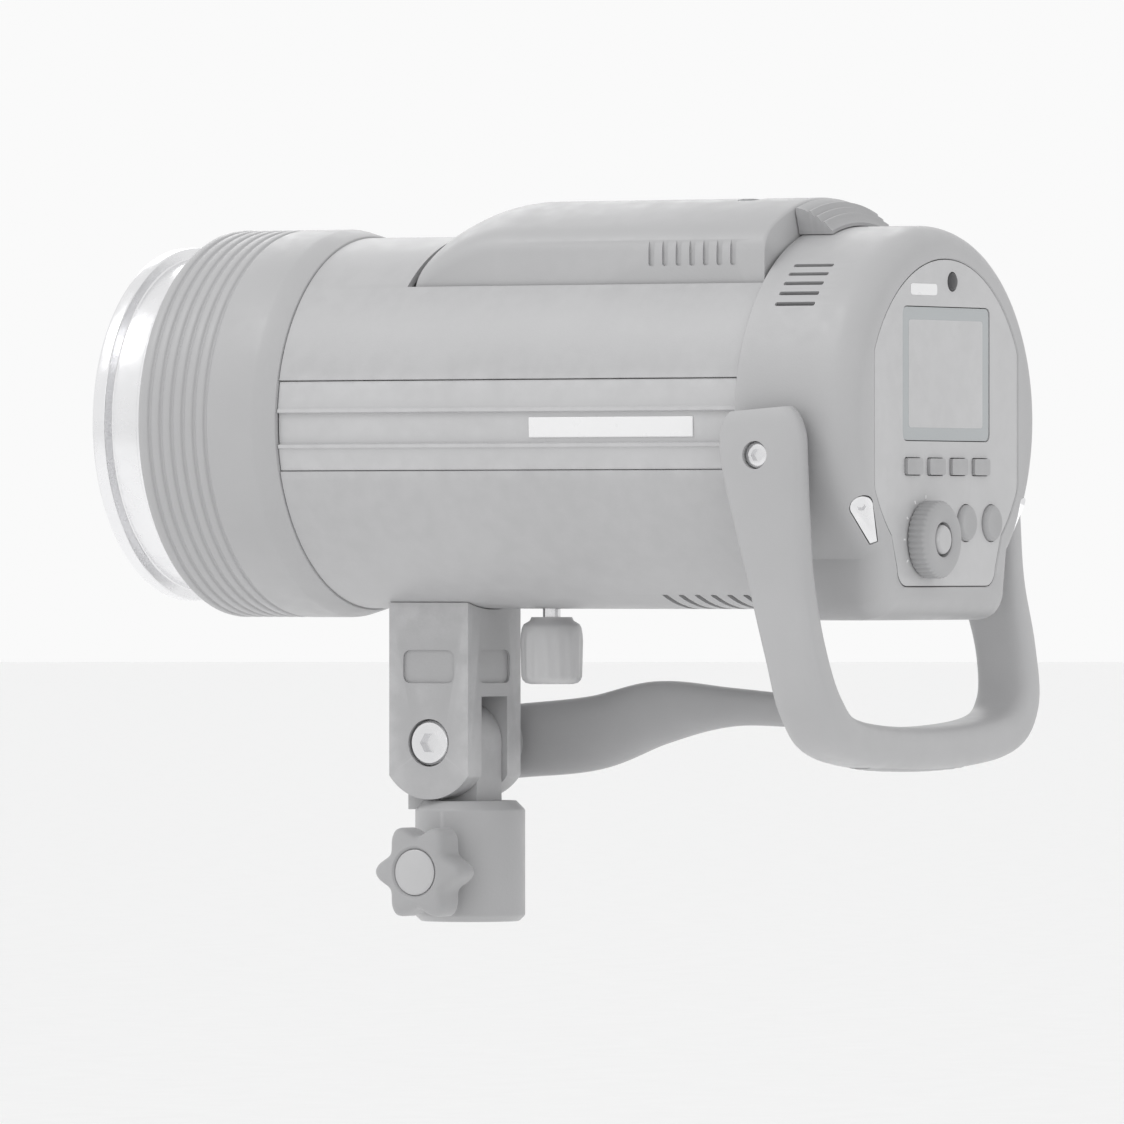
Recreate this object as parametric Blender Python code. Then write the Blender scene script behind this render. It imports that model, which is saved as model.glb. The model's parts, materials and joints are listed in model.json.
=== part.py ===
"""Monolight studio strobe on its tilting stand bracket.

Frame: origin at the centre of the stand socket's mouth, +Z up, the flash end faces -Y and the
control panel faces +Y. Metres throughout. Every piece of the strobe is one named object, and
the pieces that turn or slide have their origin on their joint's axis.
"""

import math

import bmesh
import bpy
from mathutils import Matrix, Vector

# ---- driving dimensions ------------------------------------------------------------------
GAP = 0.0003            # clearance between pieces that touch

SOCKET_R = 0.0080       # 5/8 inch stand socket
SOCKET_DEPTH = 0.034
RECEIVER_R = 0.0185
RECEIVER_H = 0.0405
KNOB_Z = 0.0170         # height of the stand knob's screw
KNOB_R = 0.0148         # middle of the star knob's lobes

PIVOT_Y = -0.0060       # tilt axis, along X, a little ahead of the stand
PIVOT_Z = 0.0600
TONGUE_R = 0.0135
TONGUE_HALF = 0.0080
CHEEK_IN = 0.0083       # inner face of each neck cheek
NECK_HALF_X = 0.0170
NECK_HALF_Y = 0.0155
KNUCKLE_R = 0.0190      # rounded lower end of the neck, about the tilt axis
HUB_R = 0.0115
BOLT_R = 0.0040

AXIS_Z = 0.1675         # optical axis
BARREL_R = 0.0625
WALL = 0.0025
BARREL_Y = (-0.0375, 0.1395)
RAIL_LOW, RAIL_HIGH = -0.0165, 0.0135   # side rail, heights about the optical axis

COLLAR_R = 0.0655
COLLAR_Y = (-0.0918, -0.0378)
PLATE_Y = (-0.0918, -0.0890)
RING_R = 0.0600
RING_BORE = 0.0490
RING_Y = (-0.1128, -0.0921)

HOUSING_R = 0.0640
HOUSING_Y = (0.1400, 0.1840)
HOUSING_FLAT = -0.0660  # flat underside, about the optical axis
PANEL_INSET = 0.0110
PANEL_HALF_X = 0.0480
PANEL_Y = (0.1813, 0.1837)

BATTERY_HALF_X = 0.0420
BATTERY_FLOOR = 0.0290
BATTERY_R = 0.0738      # crown of the pack, about the optical axis
BATTERY_Y = (0.0040, 0.1388)
BATTERY_SLOPE = 0.0320  # length of the pack's rounded front

LATCH_Y = (0.1393, 0.1520)

UMBRELLA_Z = -0.0436    # umbrella shaft hole, about the optical axis
UMBRELLA_R = 0.0042
UMBRELLA_TUBE_R = 0.0050
UMBRELLA_KNOB_Y = 0.0320

LEVER_X = -0.0310
DIAL_X = 0.0140         # across; the heights on the panel are about the optical axis
DIAL_Z = -0.0395
DIAL_R = 0.0128
SENSOR = (-0.0040, 0.0455)
BUTTON_Z = -0.0155
BUTTON_X = (-0.0225, -0.0075, 0.0075, 0.0225)
KEY_Z = -0.0340
KEY_X = (-0.0300, -0.0130)

GRIP_X = 0.0703
GRIP_Y = 0.1545         # grip screws, along the strobe
GRIP_SCREW_Z = -0.0120

X, Y, Z = Vector((1, 0, 0)), Vector((0, 1, 0)), Vector((0, 0, 1))
PIVOT = Vector((0, PIVOT_Y, PIVOT_Z))


# ---- materials ---------------------------------------------------------------------------
def material(name, colour, roughness, metallic=0.0):
    mat = bpy.data.materials.new(name)
    mat.use_nodes = True
    shader = mat.node_tree.nodes["Principled BSDF"]
    shader.inputs["Base Color"].default_value = (*colour, 1.0)
    shader.inputs["Roughness"].default_value = roughness
    shader.inputs["Metallic"].default_value = metallic
    return mat


def make_materials():
    return {
        "shell": material("shell", (0.50, 0.50, 0.51), 0.48),
        "panel": material("panel", (0.56, 0.56, 0.57), 0.35),
        "rubber": material("rubber", (0.44, 0.44, 0.45), 0.75),
        "bracket": material("bracket", (0.48, 0.48, 0.49), 0.45),
        "ring": material("ring", (0.80, 0.80, 0.81), 0.22, 1.0),
        "steel": material("steel", (0.70, 0.70, 0.71), 0.30, 1.0),
        "brass": material("brass", (0.72, 0.55, 0.26), 0.35, 1.0),
        "dish": material("dish", (0.85, 0.85, 0.86), 0.25, 1.0),
        "glass": material("glass", (0.92, 0.93, 0.93), 0.30),
        "tube": material("tube", (0.95, 0.93, 0.88), 0.10),
        "ceramic": material("ceramic", (0.88, 0.87, 0.84), 0.40),
        "led": material("led", (0.90, 0.80, 0.35), 0.45),
        "sink": material("sink", (0.55, 0.56, 0.58), 0.40, 1.0),
        "can": material("can", (0.16, 0.20, 0.32), 0.40),
        "board": material("board", (0.05, 0.22, 0.11), 0.55),
        "fan": material("fan", (0.06, 0.06, 0.06), 0.50),
        "display": material("display", (0.22, 0.25, 0.26), 0.08),
        "gold": material("gold", (0.80, 0.62, 0.28), 0.30, 1.0),
    }


# ---- shape helpers -----------------------------------------------------------------------
def ring_points(centre, axis, radius, count, start=0.0):
    """Points on a circle about an axis."""
    side = axis.cross(Z) if abs(axis.z) < 0.9 else axis.cross(X)
    side.normalize()
    other = axis.cross(side)
    points = []
    for i in range(count):
        angle = start + math.tau * i / count
        points.append(centre + radius * (math.cos(angle) * side + math.sin(angle) * other))
    return points


def skin(loops, closed=False):
    """A mesh over loops of equal length, capped at its ends or closed round like a tyre."""
    bm = bmesh.new()
    rings = [[bm.verts.new(p) for p in loop] for loop in loops]
    following = rings[1:] + (rings[:1] if closed else [])
    for low, high in zip(rings, following):
        for i in range(len(low)):
            j = (i + 1) % len(low)
            bm.faces.new((low[i], low[j], high[j], high[i]))
    if not closed:
        bm.faces.new(rings[0][::-1])
        bm.faces.new(rings[-1])
    bmesh.ops.recalc_face_normals(bm, faces=bm.faces)
    return bm


def turned(profile, axis, centre=(0, 0, 0), count=32, closed=False, start=0.0):
    """A profile of (radius, distance along the axis) turned about the axis."""
    base = Vector(centre)
    loops = [ring_points(base + axis * h, axis, r, count, start) for r, h in profile]
    return skin(loops, closed)


def rod(radius, axis, low, high, centre=(0, 0, 0), count=20):
    """A plain cylinder, turned a little so that no corner falls in a plane of symmetry."""
    return turned([(radius, low), (radius, high)], axis, centre, count, start=0.1)


def prism(outline, axis, low, high):
    """An outline of 2D points extruded along X, Y or Z; the points are (y, z), (x, z) or (x, y)."""
    if axis == X:
        loops = [[Vector((d, a, b)) for a, b in outline] for d in (low, high)]
    elif axis == Y:
        loops = [[Vector((a, d, b)) for a, b in outline] for d in (low, high)]
    else:
        loops = [[Vector((a, b, d)) for a, b in outline] for d in (low, high)]
    return skin(loops)


def block(x, y, z):
    """A box from three (low, high) pairs."""
    return prism([(x[0], y[0]), (x[1], y[0]), (x[1], y[1]), (x[0], y[1])], Z, z[0], z[1])


def rounded(half_w, half_h, radius, centre=(0.0, 0.0), steps=3):
    """A rectangle's outline with rounded corners."""
    points = []
    for quarter, (sx, sz) in enumerate(((1, 1), (-1, 1), (-1, -1), (1, -1))):
        for i in range(steps + 1):
            angle = math.pi / 2 * (quarter + i / steps)
            points.append((centre[0] + sx * (half_w - radius) + radius * math.cos(angle),
                           centre[1] + sz * (half_h - radius) + radius * math.sin(angle)))
    return points


def arc(radius, start, end, steps, centre=(0.0, 0.0)):
    """Points on an arc, with its angles in degrees."""
    points = []
    for i in range(steps + 1):
        angle = math.radians(start + (end - start) * i / steps)
        points.append((centre[0] + radius * math.cos(angle),
                       centre[1] + radius * math.sin(angle)))
    return points


def sector(outer, inner, start, end, steps, centre=(0.0, AXIS_Z)):
    """The outline of a piece of a ring's wall."""
    return arc(outer, start, end, steps, centre) + arc(inner, end, start, steps, centre)


def sweep(path, sizes, flat, count=12):
    """An oval bar along a path; each size is (along flat, across it)."""
    loops = []
    for i, point in enumerate(path):
        ahead = path[min(i + 1, len(path) - 1)]
        behind = path[max(i - 1, 0)]
        tangent = (ahead - behind).normalized()
        side = (flat - tangent * flat.dot(tangent)).normalized()
        across = tangent.cross(side)
        wide, deep = sizes[i]
        loop = []
        for k in range(count):
            angle = math.tau * (k + 0.5) / count
            c, s = math.cos(angle), math.sin(angle)
            c = math.copysign(abs(c) ** 0.6, c)
            s = math.copysign(abs(s) ** 0.6, s)
            loop.append(point + side * (c * wide / 2) + across * (s * deep / 2))
        loops.append(loop)
    return skin(loops)


def smooth_path(points, steps):
    """Points on a Catmull-Rom curve through the given ones."""
    ends = [2 * points[0] - points[1]] + points + [2 * points[-1] - points[-2]]
    path = []
    for a, b, c, d in zip(ends, ends[1:], ends[2:], ends[3:]):
        for i in range(steps):
            t = i / steps
            path.append(0.5 * (2 * b + (c - a) * t + (2 * a - 5 * b + 4 * c - d) * t * t
                               + (3 * b - a - 3 * c + d) * t ** 3))
    path.append(points[-1])
    return path


def combine(obj, shapes, operation):
    """Cut shapes out of an object, or join them to it."""
    for bm in shapes:
        mesh = bpy.data.meshes.new("tool")
        bm.to_mesh(mesh)
        bm.free()
        tool = bpy.data.objects.new("tool", mesh)
        bpy.context.collection.objects.link(tool)
        modifier = obj.modifiers.new("cut", "BOOLEAN")
        modifier.operation = operation
        modifier.object = tool
        view = bpy.context.evaluated_depsgraph_get()
        result = bpy.data.meshes.new_from_object(obj.evaluated_get(view))
        obj.modifiers.clear()
        obj.data = result
        bpy.data.objects.remove(tool)


def solid(name, bm, mat, cuts=(), joins=(), origin=None, parent=None):
    """One piece of the strobe: its shape, its unions and cuts, its material and its origin."""
    mesh = bpy.data.meshes.new(name)
    bm.to_mesh(mesh)
    bm.free()
    obj = bpy.data.objects.new(name, mesh)
    bpy.context.collection.objects.link(obj)
    obj.data.materials.append(mat)
    combine(obj, joins, "UNION")
    combine(obj, cuts, "DIFFERENCE")
    obj.data.shade_smooth()
    obj.data.set_sharp_from_angle(angle=math.radians(35))
    if origin:
        obj.data.transform(Matrix.Translation(-Vector(origin)))
        obj.location = origin
    if parent:
        obj.parent = parent
        obj.matrix_parent_inverse = Matrix.Translation(-parent.location)
    return obj


def at_axis(x, y, z):
    """A point with its height given about the optical axis."""
    return Vector((x, y, AXIS_Z + z))


# ---- stand bracket -----------------------------------------------------------------------
def stand_receiver(mats):
    profile = [
        (SOCKET_R, SOCKET_DEPTH), (SOCKET_R, 0.0010), (SOCKET_R + 0.0010, 0.0),
        (RECEIVER_R - 0.0020, 0.0), (RECEIVER_R, 0.0020),
        (RECEIVER_R, RECEIVER_H - 0.0030), (RECEIVER_R - 0.0030, RECEIVER_H),
    ]
    outline = [(PIVOT_Y - TONGUE_R, RECEIVER_H - 0.0030)]
    outline += arc(TONGUE_R, 180, 0, 10, (PIVOT_Y, PIVOT_Z))
    outline += [(PIVOT_Y + TONGUE_R, RECEIVER_H - 0.0030)]
    tongue = prism(outline, X, -TONGUE_HALF, TONGUE_HALF)
    knob_at = (0, 0, KNOB_Z)
    boss = rod(0.0085, X, 0.0120, 0.0205, knob_at)
    screw_hole = rod(BOLT_R + GAP, X, 0.0010, 0.0230, knob_at)
    pad_hole = rod(0.0056, X, 0.0020, 0.0125, knob_at)
    pivot_hole = rod(BOLT_R + GAP, X, -0.02, 0.02, PIVOT)
    solid("stand_receiver", turned(profile, Z, count=24), mats["bracket"],
          cuts=(pad_hole, screw_hole, pivot_hole), joins=(tongue, boss))


def stand_lock(mats):
    """Star knob, its screw, and the pad that it presses on the stand's spigot."""
    centre = (0, 0, KNOB_Z)
    lobes = []
    for x in (0.0212, 0.0228, 0.0345, 0.0362):
        bulge = 0.0 if 0.022 < x < 0.035 else -0.0018
        loop = []
        for i in range(40):
            angle = math.tau * i / 40
            radius = KNOB_R + bulge + 0.0020 * math.cos(6 * angle)
            loop.append(Vector((x, radius * math.sin(angle), KNOB_Z + radius * math.cos(angle))))
        lobes.append(loop)
    bore = rod(BOLT_R + GAP, X, 0.0200, 0.0300, centre)
    solid("stand_knob", skin(lobes), mats["rubber"], cuts=(bore,), origin=(0.0285, 0, KNOB_Z))
    solid("stand_screw", turned([(0.0032, 0.0128), (BOLT_R, 0.0138), (BOLT_R, 0.0297)], X, centre, 20),
          mats["steel"], origin=(0.0200, 0, KNOB_Z))
    solid("pressure_pad", rod(0.0053, X, 0.0083, 0.0122, centre), mats["brass"],
          origin=(0.0100, 0, KNOB_Z))


# ---- head: neck and tilt lock ------------------------------------------------------------
def neck(mats, head):
    corner = math.degrees(math.acos(NECK_HALF_Y / KNUCKLE_R))
    outline = arc(KNUCKLE_R, 180 + corner, 360 - corner, 10, (PIVOT_Y, PIVOT_Z))
    outline += [(PIVOT_Y + NECK_HALF_Y, AXIS_Z - 0.050), (PIVOT_Y - NECK_HALF_Y, AXIS_Z - 0.050)]
    slot = block((-CHEEK_IN, CHEEK_IN), (-0.04, 0.03), (0.030, PIVOT_Z + TONGUE_R + 0.0020))
    saddle = rod(BARREL_R + GAP, Y, -0.04, 0.03, (0, 0, AXIS_Z), 72)
    pivot_hole = rod(BOLT_R + GAP, X, -0.03, 0.03, PIVOT)
    head_pocket = rod(0.0080, X, 0.0130, 0.0200, PIVOT)
    solid("neck", prism(outline, X, -NECK_HALF_X, NECK_HALF_X), mats["bracket"],
          cuts=(slot, saddle, pivot_hole, head_pocket), parent=head)


def tilt_bolt(mats, head):
    profile = [(BOLT_R, -0.0375), (BOLT_R, 0.0133), (0.0075, 0.0133), (0.0075, 0.0166)]
    solid("tilt_bolt", turned(profile, X, PIVOT, 24), mats["steel"], origin=PIVOT, parent=head)


# points along the lever (behind the pivot, above it, depth)
LEVER_ROUTE = ((0.0040, 0.0000, 0.0250), (0.0360, 0.0030, 0.0250), (0.0620, 0.0100, 0.0215),
               (0.0900, 0.0120, 0.0130), (0.1200, 0.0105, 0.0105))


def tilt_lever(mats, head):
    steps = 3
    pivot = Vector((LEVER_X, PIVOT_Y, PIVOT_Z))
    path = smooth_path([pivot + Vector((0, y, z)) for y, z, depth in LEVER_ROUTE], steps)
    depths = [p.x for p in smooth_path([Vector((depth, 0, 0)) for y, z, depth in LEVER_ROUTE], steps)]
    sizes = [(0.0120 - 0.0030 * i / (len(path) - 1), depth) for i, depth in enumerate(depths)]
    sizes[-1] = (0.0060, 0.0070)
    hub = turned([(0.0085, -0.0175), (0.0085, -0.0235), (HUB_R, -0.0245), (HUB_R, -0.0375)], X, PIVOT, 20)
    bore = rod(BOLT_R + GAP, X, -0.05, 0.0, PIVOT)
    solid("tilt_lever", sweep(path, sizes, X, 10), mats["rubber"], joins=(hub,), cuts=(bore,),
          origin=pivot, parent=head)
    cap = [(0.0065, -0.0378), (0.0065, -0.0410), (0.0045, -0.0430), (0.0015, -0.0438)]
    solid("lever_nut", turned(cap, X, PIVOT, 18), mats["steel"],
          origin=(-0.0400, PIVOT_Y, PIVOT_Z), parent=head)


def umbrella_lock(mats, head):
    """The tube that takes an umbrella's shaft, and the knob and screw that hold it."""
    y0, y1 = PLATE_Y[0] - 0.0008, 0.0450
    profile = [(UMBRELLA_R, y0), (UMBRELLA_TUBE_R, y0), (UMBRELLA_TUBE_R, y1), (UMBRELLA_R, y1)]
    hole = rod(0.0033, Z, AXIS_Z - 0.060, AXIS_Z + UMBRELLA_Z, (0, UMBRELLA_KNOB_Y, 0), 12)
    solid("umbrella_tube", turned(profile, Y, at_axis(0, 0, UMBRELLA_Z), 16, closed=True),
          mats["sink"], cuts=(hole,), parent=head)
    base = (0, UMBRELLA_KNOB_Y, 0)
    solid("umbrella_screw", rod(0.0030, Z, 0.0900, AXIS_Z + UMBRELLA_Z - UMBRELLA_R - 0.0004, base, 16),
          mats["steel"], origin=(0, UMBRELLA_KNOB_Y, 0.100), parent=head)
    profile = [(0.0085, 0.0798), (0.0100, 0.0808), (0.0106, 0.0980), (0.0095, 0.1000), (0.0070, 0.1022)]
    bore = rod(0.0033, Z, 0.0890, 0.1100, base, 16)
    solid("umbrella_knob", turned(profile, Z, base, 20), mats["rubber"], cuts=(bore,),
          origin=(0, UMBRELLA_KNOB_Y, 0.090), parent=head)


# ---- head: casing ------------------------------------------------------------------------
def barrel(mats, head):
    """Upper and lower casing shells, with a rail along each side between them."""
    inner = BARREL_R - WALL
    low_angle = math.degrees(math.asin(RAIL_LOW / BARREL_R))
    high_angle = math.degrees(math.asin(RAIL_HIGH / BARREL_R))
    split = math.degrees(GAP / BARREL_R)
    bay = block((-BATTERY_HALF_X - 0.0012, BATTERY_HALF_X + 0.0012), (BATTERY_Y[0] - 0.0008, 0.2),
                (AXIS_Z + 0.0200, AXIS_Z + 0.1))
    solid("barrel_upper",
          prism(sector(BARREL_R, inner, high_angle + split, 180 - high_angle - split, 32), Y, *BARREL_Y),
          mats["shell"], cuts=(bay,), parent=head)
    screw_hole = rod(0.0036, Z, 0.09, 0.12, (0, UMBRELLA_KNOB_Y, 0), 16)
    solid("barrel_lower",
          prism(sector(BARREL_R, inner, 180 - low_angle + split, 360 + low_angle - split, 32), Y, *BARREL_Y),
          mats["shell"], cuts=(screw_hole,), parent=head)
    rail = (BARREL_R - 0.0006, inner)
    solid("side_rail_right", prism(sector(*rail, low_angle, high_angle, 6), Y, *BARREL_Y),
          mats["panel"], parent=head)
    solid("side_rail_left", prism(sector(*rail, 180 - high_angle, 180 - low_angle, 6), Y, *BARREL_Y),
          mats["panel"], parent=head)


def battery_tray(mats, head):
    """Open box that the battery pack sits in, with its contact block."""
    y0, y1 = BATTERY_Y[0] - 0.0005, 0.1392
    wall, floor = 0.0012, BATTERY_FLOOR - GAP
    half = BATTERY_HALF_X + GAP + wall
    top = AXIS_Z + 0.0385
    outer = block((-half, half), (y0 - wall, y1), (AXIS_Z + floor - 0.0018, top))
    inner = block((-half + wall, half - wall), (y0, y1 + 0.01), (AXIS_Z + floor, top + 0.01))
    solid("battery_tray", outer, mats["panel"], cuts=(inner,), parent=head)


def collar(mats, head):
    y0, y1 = COLLAR_Y
    profile = [(0.0605, y0), (COLLAR_R - 0.0018, y0), (COLLAR_R, y0 + 0.0020), (COLLAR_R, y1 - 0.0080),
               (BARREL_R + 0.0007, y1), (0.0605, y1)]
    slot = block((-0.08, -0.05), (LOCK_Y - 0.0070, LOCK_Y + 0.0145), (AXIS_Z - 0.0028, AXIS_Z + 0.0028))
    solid("front_collar", turned(profile, Y, at_axis(0, 0, 0), 40, closed=True), mats["shell"],
          cuts=(slot,), parent=head)


def bayonet_ring(mats, head):
    """Accessory ring with three entry notches for an accessory's claws."""
    y0, y1 = RING_Y
    profile = [(RING_BORE, y0), (RING_R - 0.0010, y0), (RING_R, y0 + 0.0010), (RING_R, y0 + 0.0050),
               (RING_R - 0.0035, y0 + 0.0060), (RING_R - 0.0035, y1 - 0.0040),
               (RING_R, y1 - 0.0030), (RING_R, y1), (RING_BORE, y1)]
    notches = [prism(sector(0.0530, 0.0450, a - 14, a + 14, 4), Y, y0 - 0.01, y0 + 0.0120)
               for a in (90, 210, 330)]
    pin_hole = rod(0.0024, Y, y0 - 0.01, y1 + 0.01, at_axis(LOCK_X, 0, 0), 14)
    solid("bayonet_ring", turned(profile, Y, at_axis(0, 0, 0), 36, closed=True), mats["ring"],
          cuts=(*notches, pin_hole), parent=head)


LOCK_Y = -0.0748         # middle of the slider's grip
LOCK_X = -0.0530         # where the locking pin stands


def mount_lock(mats, head):
    """Slider with the locking pin that it draws back out of an accessory."""
    grip = prism(rounded(0.0085, 0.0060, 0.0020, (LOCK_Y, AXIS_Z)), X, -0.0690, -0.0658)
    stem = block((-0.0665, -0.0510), (LOCK_Y - 0.0062, LOCK_Y - 0.0012), (AXIS_Z - 0.0022, AXIS_Z + 0.0022))
    pin = rod(0.0020, Y, RING_Y[0] - 0.0015, LOCK_Y - 0.0030, at_axis(LOCK_X, 0, 0), 14)
    solid("mount_lock", grip, mats["rubber"], joins=(stem, pin),
          origin=(-0.0670, LOCK_Y, AXIS_Z), parent=head)


def front_plate(mats, head):
    y0, y1 = PLATE_Y
    disc = [(0.0365, y0), (0.0600, y0), (0.0600, y1), (0.0365, y1)]
    umbrella = rod(0.0055, Y, y0 - 0.01, y1 + 0.01, at_axis(0, 0, UMBRELLA_Z), 14)
    pin = rod(0.0026, Y, y0 - 0.01, y1 + 0.01, at_axis(LOCK_X, 0, 0), 14)
    solid("front_plate", turned(disc, Y, at_axis(0, 0, 0), 30, closed=True), mats["shell"],
          cuts=(umbrella, pin), parent=head)


# ---- head: flash and modelling light -----------------------------------------------------
TUBE_RING_R = 0.0235
TUBE_R = 0.0042
TUBE_LEGS = (250, 290)   # where the tube's two legs stand, degrees round the optical axis
TUBE_Y = -0.1043
LIP_Y = PLATE_Y[0] - 0.0025     # front of the reflector's lip
DISH_Y = LIP_Y + 0.0117         # back of the reflector
DOME_R = 0.0378
DOME_WALL = 0.0024
DOME_EDGE_Y = -0.1088           # where the dome's straight wall ends
DOME_RISE = 0.0230              # from there to its crown


def flash_unit(mats, head):
    legs = [at_axis(TUBE_RING_R * math.cos(math.radians(a)), 0, TUBE_RING_R * math.sin(math.radians(a)))
            for a in TUBE_LEGS]
    sheet = 0.0008
    dish = [(0.0385, LIP_Y), (0.0385, LIP_Y + sheet), (0.0342, LIP_Y + sheet), (0.0318, DISH_Y),
            (0.0130, DISH_Y), (0.0130, DISH_Y - sheet), (0.0310, DISH_Y - sheet), (0.0332, LIP_Y)]
    solid("reflector", turned(dish, Y, at_axis(0, 0, 0), 28, closed=True), mats["dish"],
          cuts=[rod(TUBE_R + 0.0006, Y, DISH_Y - 0.01, DISH_Y + 0.01, leg, 14) for leg in legs], parent=head)
    front, back = DISH_Y + 0.0004, DISH_Y + 0.0148
    base = [(0.0122, front), (0.0300, front), (0.0300, back), (0.0122, back)]
    solid("tube_base", turned(base, Y, at_axis(0, 0, 0), 24, closed=True), mats["ceramic"],
          cuts=[rod(TUBE_R + 0.0005, Y, front - 0.01, front + 0.0094, leg, 14) for leg in legs], parent=head)
    led = [(0.0105, DISH_Y - 0.0006), (0.0105, DISH_Y - 0.0022), (0.0085, DISH_Y - 0.0028)]
    solid("modelling_led", turned(led, Y, at_axis(0, 0, 0), 24), mats["led"], parent=head)
    fins = [(0.0115, DISH_Y - 0.0002), (0.0115, DISH_Y + 0.0168)]
    for i in range(3):
        y = DISH_Y + 0.0168 + 0.0060 * i
        fins += [(0.0250, y), (0.0250, y + 0.0020), (0.0100, y + 0.0020), (0.0100, y + 0.0060)]
    solid("led_heatsink", turned(fins, Y, at_axis(0, 0, 0), 18), mats["sink"], parent=head)
    glass_dome(mats, head)
    flash_tube(mats, head)


def glass_dome(mats, head):
    base = LIP_Y - GAP
    bore = DOME_R - DOME_WALL
    outer, inner = [(DOME_R, base)], [(bore, base)]
    for i in range(6):
        angle = math.pi / 2 * i / 5 * 0.93
        outer.append((DOME_R * math.cos(angle), DOME_EDGE_Y - DOME_RISE * math.sin(angle)))
        inner.append((bore * math.cos(angle), DOME_EDGE_Y - (DOME_RISE - DOME_WALL) * math.sin(angle)))
    solid("glass_dome", turned(outer[::-1] + inner, Y, at_axis(0, 0, 0), 24), mats["glass"], parent=head)


def flash_tube(mats, head):
    """Ring-shaped flash tube on two legs, as a round-bevelled curve."""
    start, end = TUBE_LEGS[1] - 360, TUBE_LEGS[0]
    points = []
    for i in range(25):
        angle = math.radians(start + (end - start) * i / 24)
        points.append(at_axis(TUBE_RING_R * math.cos(angle), TUBE_Y, TUBE_RING_R * math.sin(angle)))
    points = [points[0] + Vector((0, y, 0)) for y in (0.0270, 0.0060, 0.0020)] + points
    points += [points[-1] + Vector((0, y, 0)) for y in (0.0020, 0.0060, 0.0270)]
    curve = bpy.data.curves.new("flash_tube", "CURVE")
    curve.dimensions = "3D"
    spline = curve.splines.new("POLY")
    spline.points.add(len(points) - 1)
    for slot, point in zip(spline.points, points):
        slot.co = (*point, 1.0)
    curve.bevel_depth = TUBE_R
    curve.bevel_resolution = 2
    curve.use_fill_caps = True
    curve.materials.append(mats["tube"])
    obj = bpy.data.objects.new("flash_tube", curve)
    bpy.context.collection.objects.link(obj)
    obj.parent = head
    obj.matrix_parent_inverse = Matrix.Translation(-head.location)


# ---- head: power and control electronics -------------------------------------------------
CAPACITORS = ((-0.0260, -0.0280), (0.0260, -0.0280), (0.0, 0.0065))
CAPACITOR_R = 0.0172


def electronics(mats, head):
    for i, (x, z) in enumerate(CAPACITORS):
        profile = [(0.0150, -0.0300), (CAPACITOR_R, -0.0285), (CAPACITOR_R, 0.0340), (0.0160, 0.0350)]
        solid(f"capacitor_{i + 1}", turned(profile, Y, at_axis(x, 0, z), 18), mats["can"], parent=head)
    outline = arc(0.0592, 155, 385, 18, (0.0, AXIS_Z))
    holes = [rod(CAPACITOR_R + 2 * GAP, Y, -0.02, 0.02, at_axis(x, 0, z), 18) for x, z in CAPACITORS]
    holes.append(rod(UMBRELLA_TUBE_R + 2 * GAP, Y, -0.02, 0.02, at_axis(0, 0, UMBRELLA_Z), 14))
    solid("capacitor_bracket", prism(outline, Y, -0.0030, -0.0010), mats["sink"], cuts=holes, parent=head)
    solid("main_board", block((-0.040, 0.040), (0.0480, 0.0496), (AXIS_Z - 0.040, AXIS_Z + 0.022)),
          mats["board"], parent=head)
    solid("power_board", block((-0.036, 0.036), (0.0520, 0.1240), (AXIS_Z - 0.0260, AXIS_Z - 0.0244)),
          mats["board"], parent=head)
    slots = [block((x - 0.0022, x + 0.0022), (0.05, 0.12), (AXIS_Z - 0.0190, AXIS_Z + 0.02))
             for x in (-0.0180, -0.0090, 0.0, 0.0090, 0.0180)]
    solid("power_heatsink", block((-0.024, 0.024), (0.0570, 0.1100), (AXIS_Z - 0.0240, AXIS_Z + 0.0100)),
          mats["sink"], cuts=slots, parent=head)
    solid("control_board", block((-0.042, 0.042), (0.1600, 0.1616), (AXIS_Z - 0.050, AXIS_Z + 0.040)),
          mats["board"], parent=head)
    solid("display_module", block((-0.0300, 0.0300), (0.1755, 0.1810), (AXIS_Z - 0.0080, AXIS_Z + 0.0380)),
          mats["fan"], parent=head)


FAN_Z = -0.0130
FAN_Y = (0.1260, 0.1380)


def fan(mats, head):
    y0, y1 = FAN_Y
    centre = at_axis(0, 0, FAN_Z)
    frame = prism(rounded(0.0250, 0.0250, 0.0030, (0.0, AXIS_Z + FAN_Z)), Y, y0, y1)
    hub_plate = rod(0.0110, Y, y1 - 0.0020, y1, centre, 20)
    struts = [block((-0.0245, 0.0245), (y1 - 0.0020, y1 - 0.0002),
                    (AXIS_Z + FAN_Z - 0.0015, AXIS_Z + FAN_Z + 0.0015))]
    solid("fan_frame", frame, mats["fan"], cuts=(rod(0.0235, Y, 0.12, 0.15, centre, 32),), parent=head)
    combine(bpy.data.objects["fan_frame"], [hub_plate] + struts, "UNION")
    blades = []
    for i in range(7):
        blade = block((0.0060, 0.0225), (-0.0035, 0.0035), (-0.0006, 0.0006))
        turn = Matrix.Rotation(math.tau * i / 7, 4, "Y") @ Matrix.Rotation(math.radians(35), 4, "X")
        place = Matrix.Translation(centre + Vector((0, (y0 + y1) / 2 - 0.0010, 0)))
        bmesh.ops.transform(blade, matrix=place @ turn, verts=blade.verts)
        blades.append(blade)
    hub = turned([(0.0100, y0 + 0.0006), (0.0115, y0 + 0.0012), (0.0115, y1 - 0.0026)], Y, centre, 24)
    solid("fan_rotor", hub, mats["fan"], joins=blades,
          origin=centre + Vector((0, (y0 + y1) / 2, 0)), parent=head)


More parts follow.
